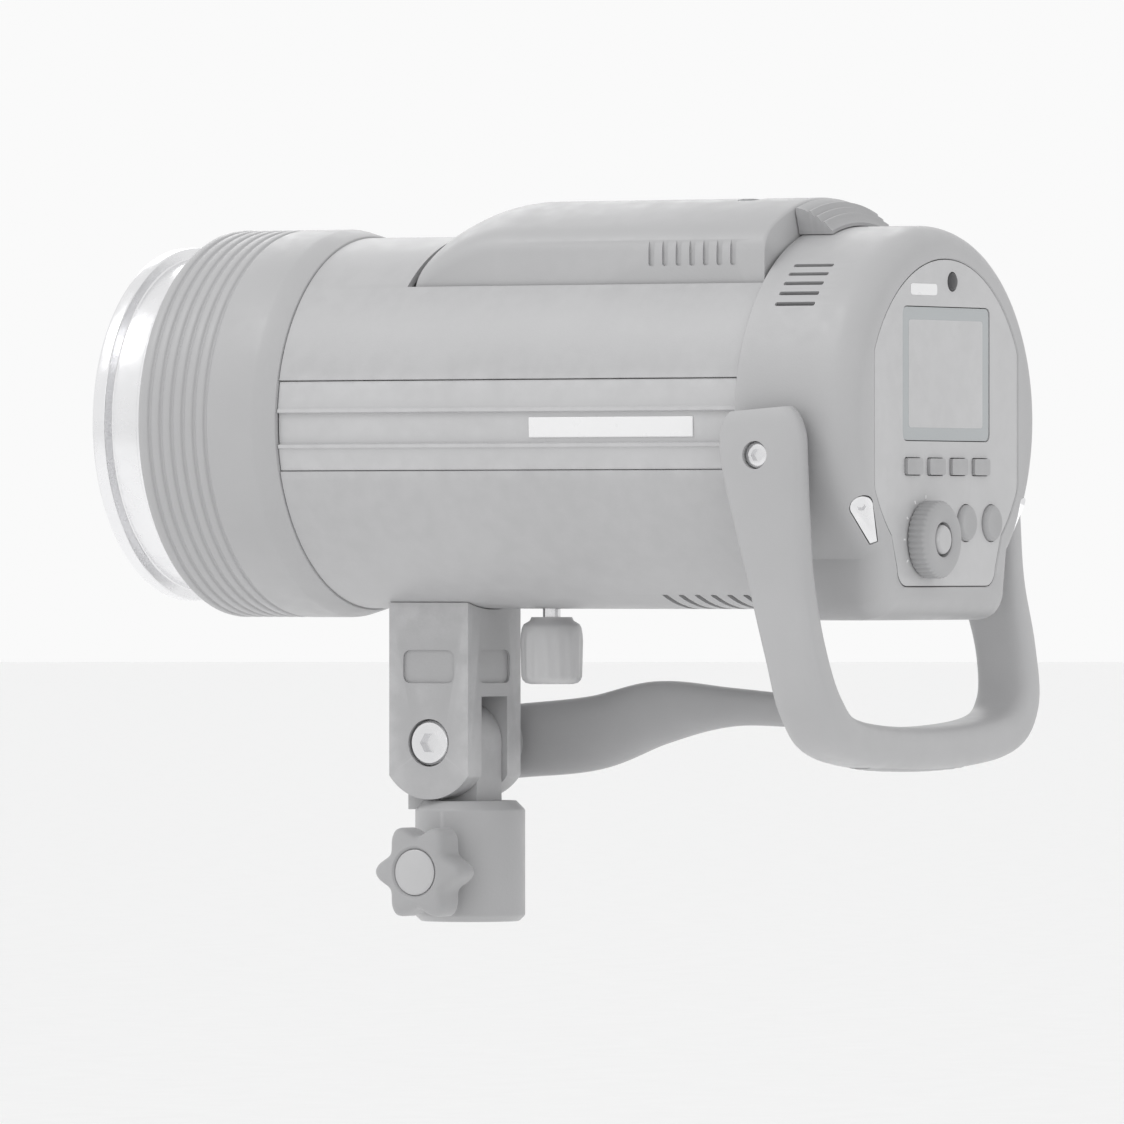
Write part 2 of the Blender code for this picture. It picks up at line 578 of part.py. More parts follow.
# ---- head: rear housing and controls -----------------------------------------------------
def housing_outline(inset, half_x=1.0):
    """Round crown and flat base, drawn in by an inset and no wider than half_x each side."""
    foot_x, corner = 0.0440 - inset, 0.0060
    base = HOUSING_FLAT + inset
    points = arc(HOUSING_R - inset, -46, 226, 24)
    points += arc(corner, 180, 270, 3, (-foot_x + corner, base + corner))
    points += arc(corner, 270, 360, 3, (foot_x - corner, base + corner))
    return [(max(-half_x, min(half_x, x)), AXIS_Z + z) for x, z in points]


def barrel_side_opening(radius):
    """The round opening towards the barrel, with a point for each one of the housing's outline."""
    return arc(radius, -46, 226, 24, (0.0, AXIS_Z)) + arc(radius, 234, 306, 7, (0.0, AXIS_Z))


def rear_housing(mats, head):
    loops = []
    y0, y1 = HOUSING_Y
    for inset, y, half_x in (
            (0.0, y0, 1.0), (0.0, y1 - 0.0100, 1.0), (0.0012, y1 - 0.0055, 1.0), (0.0036, y1 - 0.0022, 1.0),
            (0.0075, y1, 1.0), (PANEL_INSET, y1, PANEL_HALF_X), (PANEL_INSET, y1 - 0.0040, PANEL_HALF_X),
            (0.0045, y1 - 0.0065, 1.0), (WALL, y1 - 0.0110, 1.0), (WALL, y0 + 0.0030, 1.0)):
        loops.append([Vector((x, y, z)) for x, z in housing_outline(inset, half_x)])
    for y in (y0 + 0.0030, y0):
        loops.append([Vector((x, y, z)) for x, z in barrel_side_opening(BARREL_R - 0.0045)])
    ports = block((-0.08, -0.0500), (0.1470, 0.1670), (AXIS_Z + 0.0110, AXIS_Z + 0.0270))
    grip_screws = rod(0.0025, X, -0.08, 0.08, at_axis(0, GRIP_Y, GRIP_SCREW_Z), 14)
    pockets = [drop(side, GAP, -0.0033, 0.0080) for side in (1, -1)]
    solid("rear_housing", skin(loops, closed=True), mats["shell"], cuts=(ports, grip_screws, *pockets),
          parent=head)


def rear_panel(mats, head):
    outline = housing_outline(PANEL_INSET + GAP, PANEL_HALF_X - GAP)
    through = (PANEL_Y[0] - 0.01, PANEL_Y[1] + 0.01)
    cuts = [
        block((-0.0292, 0.0292), through, (AXIS_Z - 0.0072, AXIS_Z + 0.0372)),
        rod(0.0079, Y, *through, at_axis(DIAL_X, 0, DIAL_Z), 20),
        rod(0.0033, Y, *through, at_axis(SENSOR[0], 0, SENSOR[1]), 14),
    ]
    for x in BUTTON_X:
        cuts.append(prism(rounded(0.0055, 0.0030, 0.0010, (x, AXIS_Z + BUTTON_Z)), Y, *through))
    for x in KEY_X:
        cuts.append(rod(0.0063, Y, *through, at_axis(x, 0, KEY_Z), 16))
    solid("rear_panel", prism(outline, Y, *PANEL_Y), mats["panel"], cuts=cuts, parent=head)
    back, face = PANEL_Y[0] + 0.0003, PANEL_Y[1]
    window = block((-0.0289, 0.0289), (back, face - 0.0003), (AXIS_Z - 0.0069, AXIS_Z + 0.0369))
    solid("display_window", window, mats["display"], parent=head)
    lens = [(0.0030, back), (0.0030, face + 0.0001), (0.0018, face + 0.0008)]
    solid("sensor_window", turned(lens, Y, at_axis(SENSOR[0], 0, SENSOR[1]), 14), mats["display"],
          parent=head)


def controls(mats, head):
    """Keys, dial and the button in its middle; each starts behind the panel and stands proud of it."""
    back, face = PANEL_Y[0] - 0.0048, PANEL_Y[1]
    for i, x in enumerate(BUTTON_X):
        outline = rounded(0.0052, 0.0027, 0.0009, (x, AXIS_Z + BUTTON_Z))
        solid(f"function_button_{i + 1}", prism(outline, Y, back, face + 0.0011), mats["rubber"],
              origin=at_axis(x, face, BUTTON_Z), parent=head)
    for name, x in (("test_button", KEY_X[1]), ("power_button", KEY_X[0])):
        profile = [(0.0060, back), (0.0060, face + 0.0009), (0.0052, face + 0.0017)]
        solid(name, turned(profile, Y, at_axis(x, 0, KEY_Z), 16), mats["rubber"],
              origin=at_axis(x, face, KEY_Z), parent=head)
    centre = at_axis(DIAL_X, 0, DIAL_Z)
    shaft, skirt, top = 0.0075, face + 0.0004, face + 0.0073
    profile = [(0.0058, 0.1650), (shaft, 0.1650), (shaft, skirt), (DIAL_R, skirt), (DIAL_R, top - 0.0010),
               (DIAL_R - 0.0012, top), (0.0058, top)]
    solid("select_dial", turned(profile, Y, centre, 24, closed=True), mats["rubber"],
          origin=at_axis(DIAL_X, face, DIAL_Z), parent=head)
    profile = [(0.0030, 0.1655), (0.0030, skirt), (0.0049, skirt), (0.0049, top - 0.0005),
               (0.0042, top + 0.0004)]
    solid("set_button", turned(profile, Y, centre, 20), mats["panel"],
          origin=at_axis(DIAL_X, top, DIAL_Z), parent=head)


def ports(mats, head):
    """Jack block in the left wall, under a hinged rubber flap."""
    body = block((-0.0585, -0.0500), (0.1474, 0.1666), (AXIS_Z + 0.0114, AXIS_Z + 0.0266))
    jacks = [rod(0.0018, X, -0.07, -0.0520, (0, y, AXIS_Z + 0.0190), 14) for y in (0.1520, 0.1570)]
    jacks.append(block((-0.07, -0.0530), (0.1615, 0.1647), (AXIS_Z + 0.0145, AXIS_Z + 0.0235)))
    solid("port_block", body, mats["fan"], cuts=jacks, parent=head)
    flap = prism(sector(0.0660, HOUSING_R + GAP, 180 - 28, 180 - 7, 8), Y, 0.1455, 0.1685)
    edge = math.radians(152)
    hinge = at_axis(0.0655 * math.cos(edge), 0.1570, 0.0655 * math.sin(edge))
    solid("port_cover", flap, mats["rubber"], origin=hinge, parent=head)


def battery(mats, head):
    y0, y1 = BATTERY_Y

    def outline(crown):
        wide = math.degrees(math.acos(BATTERY_HALF_X / crown))
        edge = [(BATTERY_HALF_X, BATTERY_FLOOR + 0.0020), *arc(crown, wide, 180 - wide, 14),
                (-BATTERY_HALF_X, BATTERY_FLOOR + 0.0020), (-BATTERY_HALF_X + 0.0020, BATTERY_FLOOR),
                (BATTERY_HALF_X - 0.0020, BATTERY_FLOOR)]
        return [(x, AXIS_Z + z) for x, z in edge]

    rise = BATTERY_R - BARREL_R
    stations = [(BARREL_R + rise * math.sin(math.pi / 2 * t) ** 0.8, y0 + BATTERY_SLOPE * t)
                for t in (0.0, 0.06, 0.15, 0.3, 0.5, 0.75, 1.0)]
    stations.append((BATTERY_R, y1))
    loops = [[Vector((x, y, z)) for x, z in outline(crown)] for crown, y in stations]
    solid("battery_pack", skin(loops), mats["shell"],
          cuts=(block((-0.0150, 0.0150), (y0 + 0.0100, y0 + 0.0280),
                      (AXIS_Z + 0.02, AXIS_Z + BATTERY_FLOOR + 0.0040)),),
          origin=at_axis(0, (y0 + y1) / 2, BATTERY_FLOOR), parent=head)
    solid("battery_contacts", block((-0.0140, 0.0140), (y0 + 0.0110, y0 + 0.0270),
                                    (AXIS_Z + BATTERY_FLOOR + 0.0001, AXIS_Z + BATTERY_FLOOR + 0.0035)),
          mats["gold"], parent=head)
    loops = [[Vector((x, y, z)) for x, z in sector(crown, HOUSING_R + GAP, 72, 108, 8)]
             for crown, y in ((BATTERY_R, LATCH_Y[0]), (BATTERY_R - 0.0012, LATCH_Y[0] + 0.0022),
                              (HOUSING_R + 0.0016, LATCH_Y[1]))]
    solid("battery_latch", skin(loops), mats["rubber"], origin=at_axis(0, 0.1470, 0.0690), parent=head)


# ---- head: grip --------------------------------------------------------------------------
# centre line of one arm, down to the middle of the bar: (x, y, height about the axis, width)
GRIP_ROUTE = ((GRIP_X, 0.1540, 0.0030, 0.0320), (GRIP_X, 0.1555, -0.0150, 0.0305),
              (GRIP_X, 0.1585, -0.0350, 0.0262), (GRIP_X, 0.1620, -0.0550, 0.0220),
              (GRIP_X, 0.1668, -0.0760, 0.0198), (0.0655, 0.1700, -0.0945, 0.0205),
              (0.0490, 0.1702, -0.1050, 0.0210), (0.0, 0.1690, -0.1085, 0.0220))
GRIP_DEPTH = (0.0112, 0.0150)   # thickness at the arms' roots and at the bar
GRIP_PAD_DROP = 0.0066          # from the bar's centre line to the pad's


def grip_line(steps):
    """Points on the grip's centre line from one root to the other, each with its width."""
    half = [(at_axis(x, y, z), w) for x, y, z, w in GRIP_ROUTE]
    whole = half + [(Vector((-p.x, p.y, p.z)), w) for p, w in half[-2::-1]]
    path = smooth_path([p for p, w in whole], steps)
    widths = smooth_path([Vector((w, 0, 0)) for p, w in whole], steps)
    return path, [w.x for w in widths]


def grip(mats, head):
    path, widths = grip_line(2)
    sizes = []
    for point, width in zip(path, widths):
        low = min(1.0, max(0.0, (AXIS_Z - 0.050 - point.z) / 0.05))
        sizes.append((width, GRIP_DEPTH[0] + (GRIP_DEPTH[1] - GRIP_DEPTH[0]) * low))
    sizes[0] = sizes[-1] = (0.0230, 0.0070)
    holes = []
    for side in (1, -1):
        centre = at_axis(0, GRIP_Y, GRIP_SCREW_Z)
        holes.append(rod(0.0025, side * X, 0.060, 0.085, centre, 14))
        holes.append(rod(0.0046, side * X, 0.0720, 0.085, centre, 18))
    pad_path = [p - Vector((0, 0, GRIP_PAD_DROP)) for p in grip_line(8)[0] if abs(p.x) < 0.036]
    recess = sweep(pad_path, [(0.0146, 0.0026)] * len(pad_path), Y, 8)
    solid("grip_handle", sweep(path, sizes, Y, 10), mats["shell"], cuts=(*holes, recess), parent=head)
    for side, name in ((1, "grip_screw_right"), (-1, "grip_screw_left")):
        profile = [(0.0022, 0.0600), (0.0022, 0.0723), (0.0042, 0.0723), (0.0042, 0.0745)]
        centre = at_axis(0, GRIP_Y, GRIP_SCREW_Z)
        solid(name, turned(profile, side * X, centre, 18), mats["steel"], parent=head)
    pad = sweep(pad_path[1:-1], [(0.0138, 0.0018)] * (len(pad_path) - 2), Y, 8)
    solid("grip_pad", pad, mats["rubber"], parent=head)


# ---- head: case screws -------------------------------------------------------------------
CASE_SCREW = (0.0490, -0.0027, -0.0335)     # across, behind the rear rim's face, about the optical axis
CASE_SCREW_R = 0.0038                       # round upper end of the head
CASE_SCREW_SPAN = (-0.0060, 0.0080)         # centre of that end and the tip, measured downwards
CASE_SCREW_TIP = 0.0012                     # half the tip's width
CASE_SCREW_LEAN = math.radians(54)          # how far the heads face outwards


def drop(side, margin, low, top):
    """A drop-shaped block on the rear rim's shoulder, round above and narrow below."""
    x, y, z = CASE_SCREW
    out = Vector((side * x, 0, z)).normalized()
    normal = out * math.sin(CASE_SCREW_LEAN) + Y * math.cos(CASE_SCREW_LEAN)
    down = Vector((side * z, 0, -x)).normalized()
    across = normal.cross(down)
    centre = at_axis(side * x, HOUSING_Y[1] + y, z)
    head_at, tip_at = CASE_SCREW_SPAN
    tip = CASE_SCREW_TIP + margin
    outline = [(a, head_at - b) for a, b in arc(CASE_SCREW_R + margin, -20, 200, 8)]
    outline += [(-tip, tip_at + margin), (tip, tip_at + margin)]
    return skin([[centre + across * a + down * b + normal * height for a, b in outline]
                 for height in (low, top)])


def case_screws(mats, head):
    """Bright drop-shaped screws, each in a pocket on the rear rim."""
    for side, name in ((1, "case_screw_right"), (-1, "case_screw_left")):
        solid(name, drop(side, 0.0, -0.0030, 0.0007), mats["steel"], parent=head)


def main():
    for obj in list(bpy.data.objects):
        bpy.data.objects.remove(obj)
    mats = make_materials()
    head = bpy.data.objects.new("head_pivot", None)
    head.location = PIVOT
    bpy.context.collection.objects.link(head)
    stand_receiver(mats)
    stand_lock(mats)
    for make in (neck, tilt_bolt, tilt_lever, umbrella_lock, barrel, battery_tray, collar, bayonet_ring,
                 mount_lock, front_plate, flash_unit, electronics, fan, rear_housing, rear_panel,
                 controls, ports, battery, grip, case_screws):
        make(mats, head)


main()
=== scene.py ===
"""Looks of a monolight studio strobe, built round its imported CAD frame.

Metres, +Z up, the flash end faces -Y and the control panel +Y. Places and sizes are read from the
frame's nodes; each visible node gets a finely modelled piece in its stead, and hidden nodes keep
their shape and get a material. Heights called z in the head are about the optical axis.
"""

import json
import math

import bmesh
import bpy
from mathutils import Matrix, Vector


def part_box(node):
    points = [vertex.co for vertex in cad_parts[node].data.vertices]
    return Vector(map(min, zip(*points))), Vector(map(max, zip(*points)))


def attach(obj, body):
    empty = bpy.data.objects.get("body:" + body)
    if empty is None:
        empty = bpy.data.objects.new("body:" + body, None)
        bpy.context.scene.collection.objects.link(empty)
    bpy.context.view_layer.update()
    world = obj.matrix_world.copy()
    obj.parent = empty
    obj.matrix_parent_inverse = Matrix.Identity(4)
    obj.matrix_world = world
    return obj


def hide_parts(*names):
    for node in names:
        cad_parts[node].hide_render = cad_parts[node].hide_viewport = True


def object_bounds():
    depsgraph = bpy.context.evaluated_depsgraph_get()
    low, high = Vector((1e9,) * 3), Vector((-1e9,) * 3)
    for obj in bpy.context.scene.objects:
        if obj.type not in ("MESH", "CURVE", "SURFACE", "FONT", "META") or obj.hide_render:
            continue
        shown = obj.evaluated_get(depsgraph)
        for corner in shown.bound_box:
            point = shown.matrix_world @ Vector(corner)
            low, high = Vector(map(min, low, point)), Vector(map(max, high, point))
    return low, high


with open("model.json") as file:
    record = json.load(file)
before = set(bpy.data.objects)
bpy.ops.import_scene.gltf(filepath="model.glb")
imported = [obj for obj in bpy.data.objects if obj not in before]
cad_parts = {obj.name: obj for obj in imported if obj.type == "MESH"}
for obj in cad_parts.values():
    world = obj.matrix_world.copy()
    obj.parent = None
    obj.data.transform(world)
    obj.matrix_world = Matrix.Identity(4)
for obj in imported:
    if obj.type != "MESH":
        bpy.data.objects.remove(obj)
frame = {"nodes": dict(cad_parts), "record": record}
CAD_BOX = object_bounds()

X, Y, Z = Vector((1, 0, 0)), Vector((0, 1, 0)), Vector((0, 0, 1))
BODY_OF = {node: body for body, nodes in frame["record"]["behaviour"]["bodies"].items() for node in nodes}
SLOT_OF = {row["node"]: row["material_slot"] for row in frame["record"]["subparts"]}


# ---- places and sizes, from the frame ----------------------------------------------------
def low(node):
    return Vector(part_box(node)[0])


def high(node):
    return Vector(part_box(node)[1])


def mid(node):
    return (low(node) + high(node)) / 2


def box_of(node):
    return low(node), high(node)


AXIS_Z = mid("bayonet_ring").z
PIVOT = Vector((0, mid("tilt_bolt").y, mid("tilt_bolt").z))
KNOB_Z = mid("stand_screw").z
BARREL_R = AXIS_Z - low("barrel_lower").z
WALL = 0.0025
BARREL_IN = BARREL_R - WALL
BARREL_Y = (low("barrel_upper").y, high("barrel_upper").y)
COLLAR_R = high("front_collar").x
COLLAR_Y = (low("front_collar").y, high("front_collar").y)
RING_R = high("bayonet_ring").x
RING_Y = (low("bayonet_ring").y, high("bayonet_ring").y)
RING_BORE = 0.0490
LOCK_R = 0.0530                 # radius at which the locking pin stands
LOCK_Y = high("mount_lock").y - 0.0085      # middle of the slider's grip
HOUSING_R = high("rear_housing").x
HOUSING_Y = (low("rear_housing").y, high("rear_housing").y)
HOUSING_BASE = low("rear_housing").z - AXIS_Z
PANEL_HALF_X = high("rear_panel").x
PANEL_Y = (low("rear_panel").y, high("rear_panel").y)
PANEL_INSET = 0.0113
BATTERY_Y = (low("battery_pack").y, high("battery_pack").y)
BATTERY_HALF_X = high("battery_pack").x
BATTERY_BASE = low("battery_pack").z - AXIS_Z
BATTERY_R = high("battery_pack").z - AXIS_Z
UMBRELLA_Z = mid("umbrella_tube").z - AXIS_Z
DIAL = mid("select_dial")
DIAL_R = high("select_dial").x - DIAL.x
GRIP_SCREW = (mid("grip_screw_right").y, mid("grip_screw_right").z)
LEVER_X = (low("tilt_lever").x, high("tilt_lever").x)
TUBE_RING_R = 0.0235
BOLT_R = 0.0040
HUB_R = 0.0115
GAP = 0.0003


def at_axis(x, y, z):
    return Vector((x, y, AXIS_Z + z))


# ---- materials ---------------------------------------------------------------------------
def node(tree, kind, settings=(), **inputs):
    """A shader node with its settings and its unlinked inputs."""
    made = tree.nodes.new(kind)
    for key, value in settings:
        setattr(made, key, value)
    for key, value in inputs.items():
        made.inputs[key.replace("_", " ")].default_value = value
    return made


def mix_colour(tree, factor, a, b):
    """Mixes two colours, given as links or as values."""
    mixer = node(tree, "ShaderNodeMix", [("data_type", "RGBA")])
    for socket, value in ((mixer.inputs[0], factor), (mixer.inputs[6], a), (mixer.inputs[7], b)):
        if isinstance(value, bpy.types.NodeSocket):
            tree.links.new(value, socket)
        else:
            socket.default_value = value
    return mixer.outputs[2]


def remap(tree, value, from_low, from_high, to_low, to_high):
    made = node(tree, "ShaderNodeMapRange", From_Min=from_low, From_Max=from_high, To_Min=to_low,
                To_Max=to_high)
    tree.links.new(value, made.inputs["Value"])
    return made.outputs["Result"]


def noise(tree, coords, scale, detail=2.0):
    made = node(tree, "ShaderNodeTexNoise", Scale=scale, Detail=detail)
    tree.links.new(coords, made.inputs["Vector"])
    return made.outputs["Fac"]


def tint(colour, factor):
    return (*[min(1.0, c * factor) for c in colour], 1.0)


def surface(name, colour, roughness, metallic=0.0, grain=0.0006, relief=0.00004, blotch=0.05,
            wear=0.35, smudge=0.07, rings=None, fixed=()):
    """A worn surface: broad colour drift, fine grain, rubbed edges, smudged gloss, lathe rings."""
    mat = bpy.data.materials.new(name)
    mat.use_nodes = True
    tree = mat.node_tree
    shader = tree.nodes["Principled BSDF"]
    shader.inputs["Metallic"].default_value = metallic
    for socket, value in fixed:
        shader.inputs[socket].default_value = value
    coords = node(tree, "ShaderNodeTexCoord").outputs["Object"]
    broad = noise(tree, coords, 22.0, 3.0)
    patchy = noise(tree, coords, 160.0, 4.0)
    base = mix_colour(tree, remap(tree, broad, 0.3, 0.7, 0.0, 1.0), tint(colour, 1 - blotch),
                      tint(colour, 1 + blotch))
    edge = node(tree, "ShaderNodeNewGeometry").outputs["Pointiness"]
    rubbed = node(tree, "ShaderNodeMath", [("operation", "MULTIPLY")])
    tree.links.new(remap(tree, edge, 0.52, 0.62, 0.0, wear), rubbed.inputs[0])
    tree.links.new(remap(tree, patchy, 0.35, 0.65, 0.3, 1.0), rubbed.inputs[1])
    worn = mix_colour(tree, rubbed.outputs[0], base, tint(colour, 1.35))
    tree.links.new(worn, shader.inputs["Base Color"])
    tree.links.new(remap(tree, patchy, 0.3, 0.7, roughness - smudge, roughness + smudge),
                   shader.inputs["Roughness"])
    height = noise(tree, coords, 1.0 / grain, 1.0)
    bump = node(tree, "ShaderNodeBump", Strength=0.6, Distance=relief)
    tree.links.new(height, bump.inputs["Height"])
    if rings:
        lathe = node(tree, "ShaderNodeTexWave", [("wave_type", "RINGS"), ("rings_direction", rings[0])],
                     Scale=rings[1], Distortion=0.4)
        shift = node(tree, "ShaderNodeMapping")
        shift.inputs["Location"].default_value = -Vector(rings[2])
        tree.links.new(coords, shift.inputs["Vector"])
        tree.links.new(shift.outputs["Vector"], lathe.inputs["Vector"])
        cut_marks = node(tree, "ShaderNodeBump", Strength=0.5, Distance=0.00002)
        tree.links.new(lathe.outputs["Fac"], cut_marks.inputs["Height"])
        tree.links.new(bump.outputs["Normal"], cut_marks.inputs["Normal"])
        bump = cut_marks
    tree.links.new(bump.outputs["Normal"], shader.inputs["Normal"])
    return mat


def make_materials():
    optical = (0.0, 0.0, AXIS_Z)
    clear = (("Transmission Weight", 1.0), ("IOR", 1.47))
    return {
        "shell": surface("moulded_shell", (0.42, 0.42, 0.426), 0.46, blotch=0.025),
        "panel": surface("satin_panel", (0.47, 0.47, 0.476), 0.36, grain=0.0004, relief=0.00002, blotch=0.03),
        "rubber": surface("soft_rubber", (0.36, 0.36, 0.366), 0.68, grain=0.0005, relief=0.00006, wear=0.5,
                          fixed=(("Sheen Weight", 0.15), ("Sheen Roughness", 0.5))),
        "bracket": surface("powder_coat", (0.39, 0.39, 0.396), 0.42, grain=0.0011, relief=0.00009, wear=0.6),
        "ring": surface("machined_ring", (0.82, 0.82, 0.83), 0.24, 1.0, relief=0.00001, blotch=0.03,
                        rings=("Y", 900.0, optical)),
        "steel": surface("bright_steel", (0.74, 0.74, 0.75), 0.24, 1.0, relief=0.00001, blotch=0.04),
        "brass": surface("turned_brass", (0.72, 0.55, 0.26), 0.32, 1.0, relief=0.00001),
        "dish": surface("hammered_dish", (0.86, 0.86, 0.87), 0.22, 1.0, grain=0.0022, relief=0.00030,
                        blotch=0.02),
        "glass": surface("frosted_dome", (0.93, 0.94, 0.94), 0.38, grain=0.0004, relief=0.00003, blotch=0.01,
                         wear=0.0, fixed=clear),
        "tube": surface("clear_tube", (0.97, 0.96, 0.93), 0.07, relief=0.000002, blotch=0.01, wear=0.0,
                        smudge=0.03, fixed=clear),
        "ceramic": surface("ceramic", (0.86, 0.85, 0.82), 0.42, grain=0.0009),
        "led": surface("phosphor", (0.90, 0.78, 0.32), 0.45, grain=0.0012, relief=0.0001),
        "sink": surface("mill_aluminium", (0.60, 0.61, 0.63), 0.38, 1.0, relief=0.00002),
        "can": surface("capacitor_sleeve", (0.16, 0.20, 0.32), 0.32, relief=0.00001),
        "board": surface("solder_mask", (0.05, 0.22, 0.11), 0.42, grain=0.0016, relief=0.00005, blotch=0.15),
        "fan": surface("dark_plastic", (0.055, 0.055, 0.058), 0.45),
        "display": surface("display_glass", (0.36, 0.38, 0.39), 0.12, relief=0.000002, blotch=0.03, wear=0.0,
                           smudge=0.05, fixed=(("Coat Weight", 0.6), ("Coat Roughness", 0.05))),
        "gold": surface("gold_contacts", (0.80, 0.62, 0.28), 0.28, 1.0, relief=0.00001),
        "mark": surface("pale_mark", (0.78, 0.78, 0.785), 0.30, relief=0.00001, blotch=0.02, wear=0.0),
        "floor": surface("pale_floor", (0.93, 0.93, 0.93), 0.75, grain=0.02, relief=0.0001, blotch=0.01,
                         wear=0.0),
    }


# ---- shape helpers -----------------------------------------------------------------------
def fillet(points, radius, steps=3, closed=True):
    """The outline with each corner rounded, by at most that radius."""
    rounded_points = []
    count = len(points)
    for i, (px, py) in enumerate(points):
        here = Vector((px, py))
        if not closed and i in (0, count - 1):
            rounded_points.append((px, py))
            continue
        back = Vector(points[i - 1]) - here
        ahead = Vector(points[(i + 1) % count]) - here
        start = here + back.normalized() * min(radius, 0.45 * back.length)
        end = here + ahead.normalized() * min(radius, 0.45 * ahead.length)
        for k in range(steps + 1):
            t = k / steps
            point = start * (1 - t) ** 2 + here * 2 * t * (1 - t) + end * t * t
            rounded_points.append((point.x, point.y))
    return rounded_points


def ring_points(centre, axis, radius, count, start=0.0):
    """Points round an axis; the radius may be a function of the angle."""
    side = (axis.cross(Z) if abs(axis.z) < 0.9 else axis.cross(X)).normalized()
    other = axis.cross(side)
    points = []
    for i in range(count):
        angle = start + math.tau * i / count
        r = radius(angle) if callable(radius) else radius
        points.append(centre + r * (math.cos(angle) * side + math.sin(angle) * other))
    return points


def skin(loops, closed=False):
    """A mesh over loops of equal length, capped at its ends or closed round like a tyre."""
    bm = bmesh.new()
    rings = [[bm.verts.new(p) for p in loop] for loop in loops]
    following = rings[1:] + (rings[:1] if closed else [])
    for first, second in zip(rings, following):
        for i in range(len(first)):
            j = (i + 1) % len(first)
            bm.faces.new((first[i], first[j], second[j], second[i]))
    if not closed:
        bm.faces.new(rings[0][::-1])
        bm.faces.new(rings[-1])
    bmesh.ops.recalc_face_normals(bm, faces=bm.faces)
    return bm


def turned(profile, axis=Y, centre=None, count=96, closed=True, start=0.0):
    """A profile of (radius, distance along the axis) turned about the axis."""
    base = at_axis(0, 0, 0) if centre is None else Vector(centre)
    return skin([ring_points(base + axis * h, axis, r, count, start) for r, h in profile], closed)


def rod(radius, axis, start, end, centre, count=32):
    return turned([(radius, start), (radius, end)], axis, centre, count, closed=False, start=0.1)


def prism(outline, axis, start, end):
    """An outline extruded along X, Y or Z; its points are (y, z), (x, z) or (x, y)."""
    place = {0: lambda d, a, b: (d, a, b), 1: lambda d, a, b: (a, d, b), 2: lambda d, a, b: (a, b, d)}
    order = place[[axis.x, axis.y, axis.z].index(1)]
    return skin([[Vector(order(d, a, b)) for a, b in outline] for d in (start, end)])


def block(x, y, z):
    return prism([(x[0], y[0]), (x[1], y[0]), (x[1], y[1]), (x[0], y[1])], Z, z[0], z[1])


def plate(half_w, half_h, corner, centre, axis, start, end):
    """A rectangle with round corners, extruded."""
    cx, cy = centre
    outline = [(cx + half_w, cy + half_h), (cx - half_w, cy + half_h),
               (cx - half_w, cy - half_h), (cx + half_w, cy - half_h)]
    return prism(fillet(outline, corner, 6), axis, start, end)


def arc(radius, start, end, steps, centre=(0.0, 0.0)):
    angles = [math.radians(start + (end - start) * i / steps) for i in range(steps + 1)]
    return [(centre[0] + radius * math.cos(a), centre[1] + radius * math.sin(a)) for a in angles]


def sector(outer, inner, start, end, steps):
    """The outline of a piece of a wall round the optical axis."""
    return arc(outer, start, end, steps, (0.0, AXIS_Z)) + arc(inner, end, start, steps, (0.0, AXIS_Z))


def smooth_path(points, steps):
    """Points on a Catmull-Rom curve through the given ones."""
    ends = [2 * points[0] - points[1]] + points + [2 * points[-1] - points[-2]]
    path = []
    for a, b, c, d in zip(ends, ends[1:], ends[2:], ends[3:]):
        for i in range(steps):
            t = i / steps
            path.append(0.5 * (2 * b + (c - a) * t + (2 * a - 5 * b + 4 * c - d) * t * t
                               + (3 * b - a - 3 * c + d) * t ** 3))
    path.append(points[-1])
    return path


def sweep(path, sizes, flat, count=28, squareness=0.6):
    """An oval bar along a path; each size is (along flat, across it)."""
    loops = []
    for i, point in enumerate(path):
        tangent = (path[min(i + 1, len(path) - 1)] - path[max(i - 1, 0)]).normalized()
        side = (flat - tangent * flat.dot(tangent)).normalized()
        across = tangent.cross(side)
        loop = []
        for k in range(count):
            angle = math.tau * (k + 0.5) / count
            c, s = math.cos(angle), math.sin(angle)
            c = math.copysign(abs(c) ** squareness, c)
            s = math.copysign(abs(s) ** squareness, s)
            loop.append(point + side * (c * sizes[i][0] / 2) + across * (s * sizes[i][1] / 2))
        loops.append(loop)
    return skin(loops)


def merged(shapes):
    """Several separate shapes in one mesh."""
    whole = bmesh.new()
    for bm in shapes:
        mesh = bpy.data.meshes.new("shape")
        bm.to_mesh(mesh)
        bm.free()
        whole.from_mesh(mesh)
        bpy.data.meshes.remove(mesh)
    return whole


def combine(obj, shapes, operation):
    """Cut shapes out of an object, or join them to it."""
    for bm in shapes:
        mesh = bpy.data.meshes.new("tool")
        bm.to_mesh(mesh)
        bm.free()
        tool = bpy.data.objects.new("tool", mesh)
        bpy.context.collection.objects.link(tool)
        modifier = obj.modifiers.new("cut", "BOOLEAN")
        modifier.operation = operation
        modifier.solver = "EXACT"
        modifier.object = tool
        view = bpy.context.evaluated_depsgraph_get()
        result = bpy.data.meshes.new_from_object(obj.evaluated_get(view))
        obj.modifiers.clear()
        obj.data = result
        bpy.data.objects.remove(tool)


def soften(obj, width, segments, angle):
    """Rounds the sharp edges, with normals that keep the flats flat."""
    bevel = obj.modifiers.new("edges", "BEVEL")
    bevel.width = width
    bevel.segments = segments
    bevel.limit_method = "ANGLE"
    bevel.angle_limit = math.radians(angle)
    bevel.use_clamp_overlap = True
    normals = obj.modifiers.new("normals", "WEIGHTED_NORMAL")
    normals.keep_sharp = True


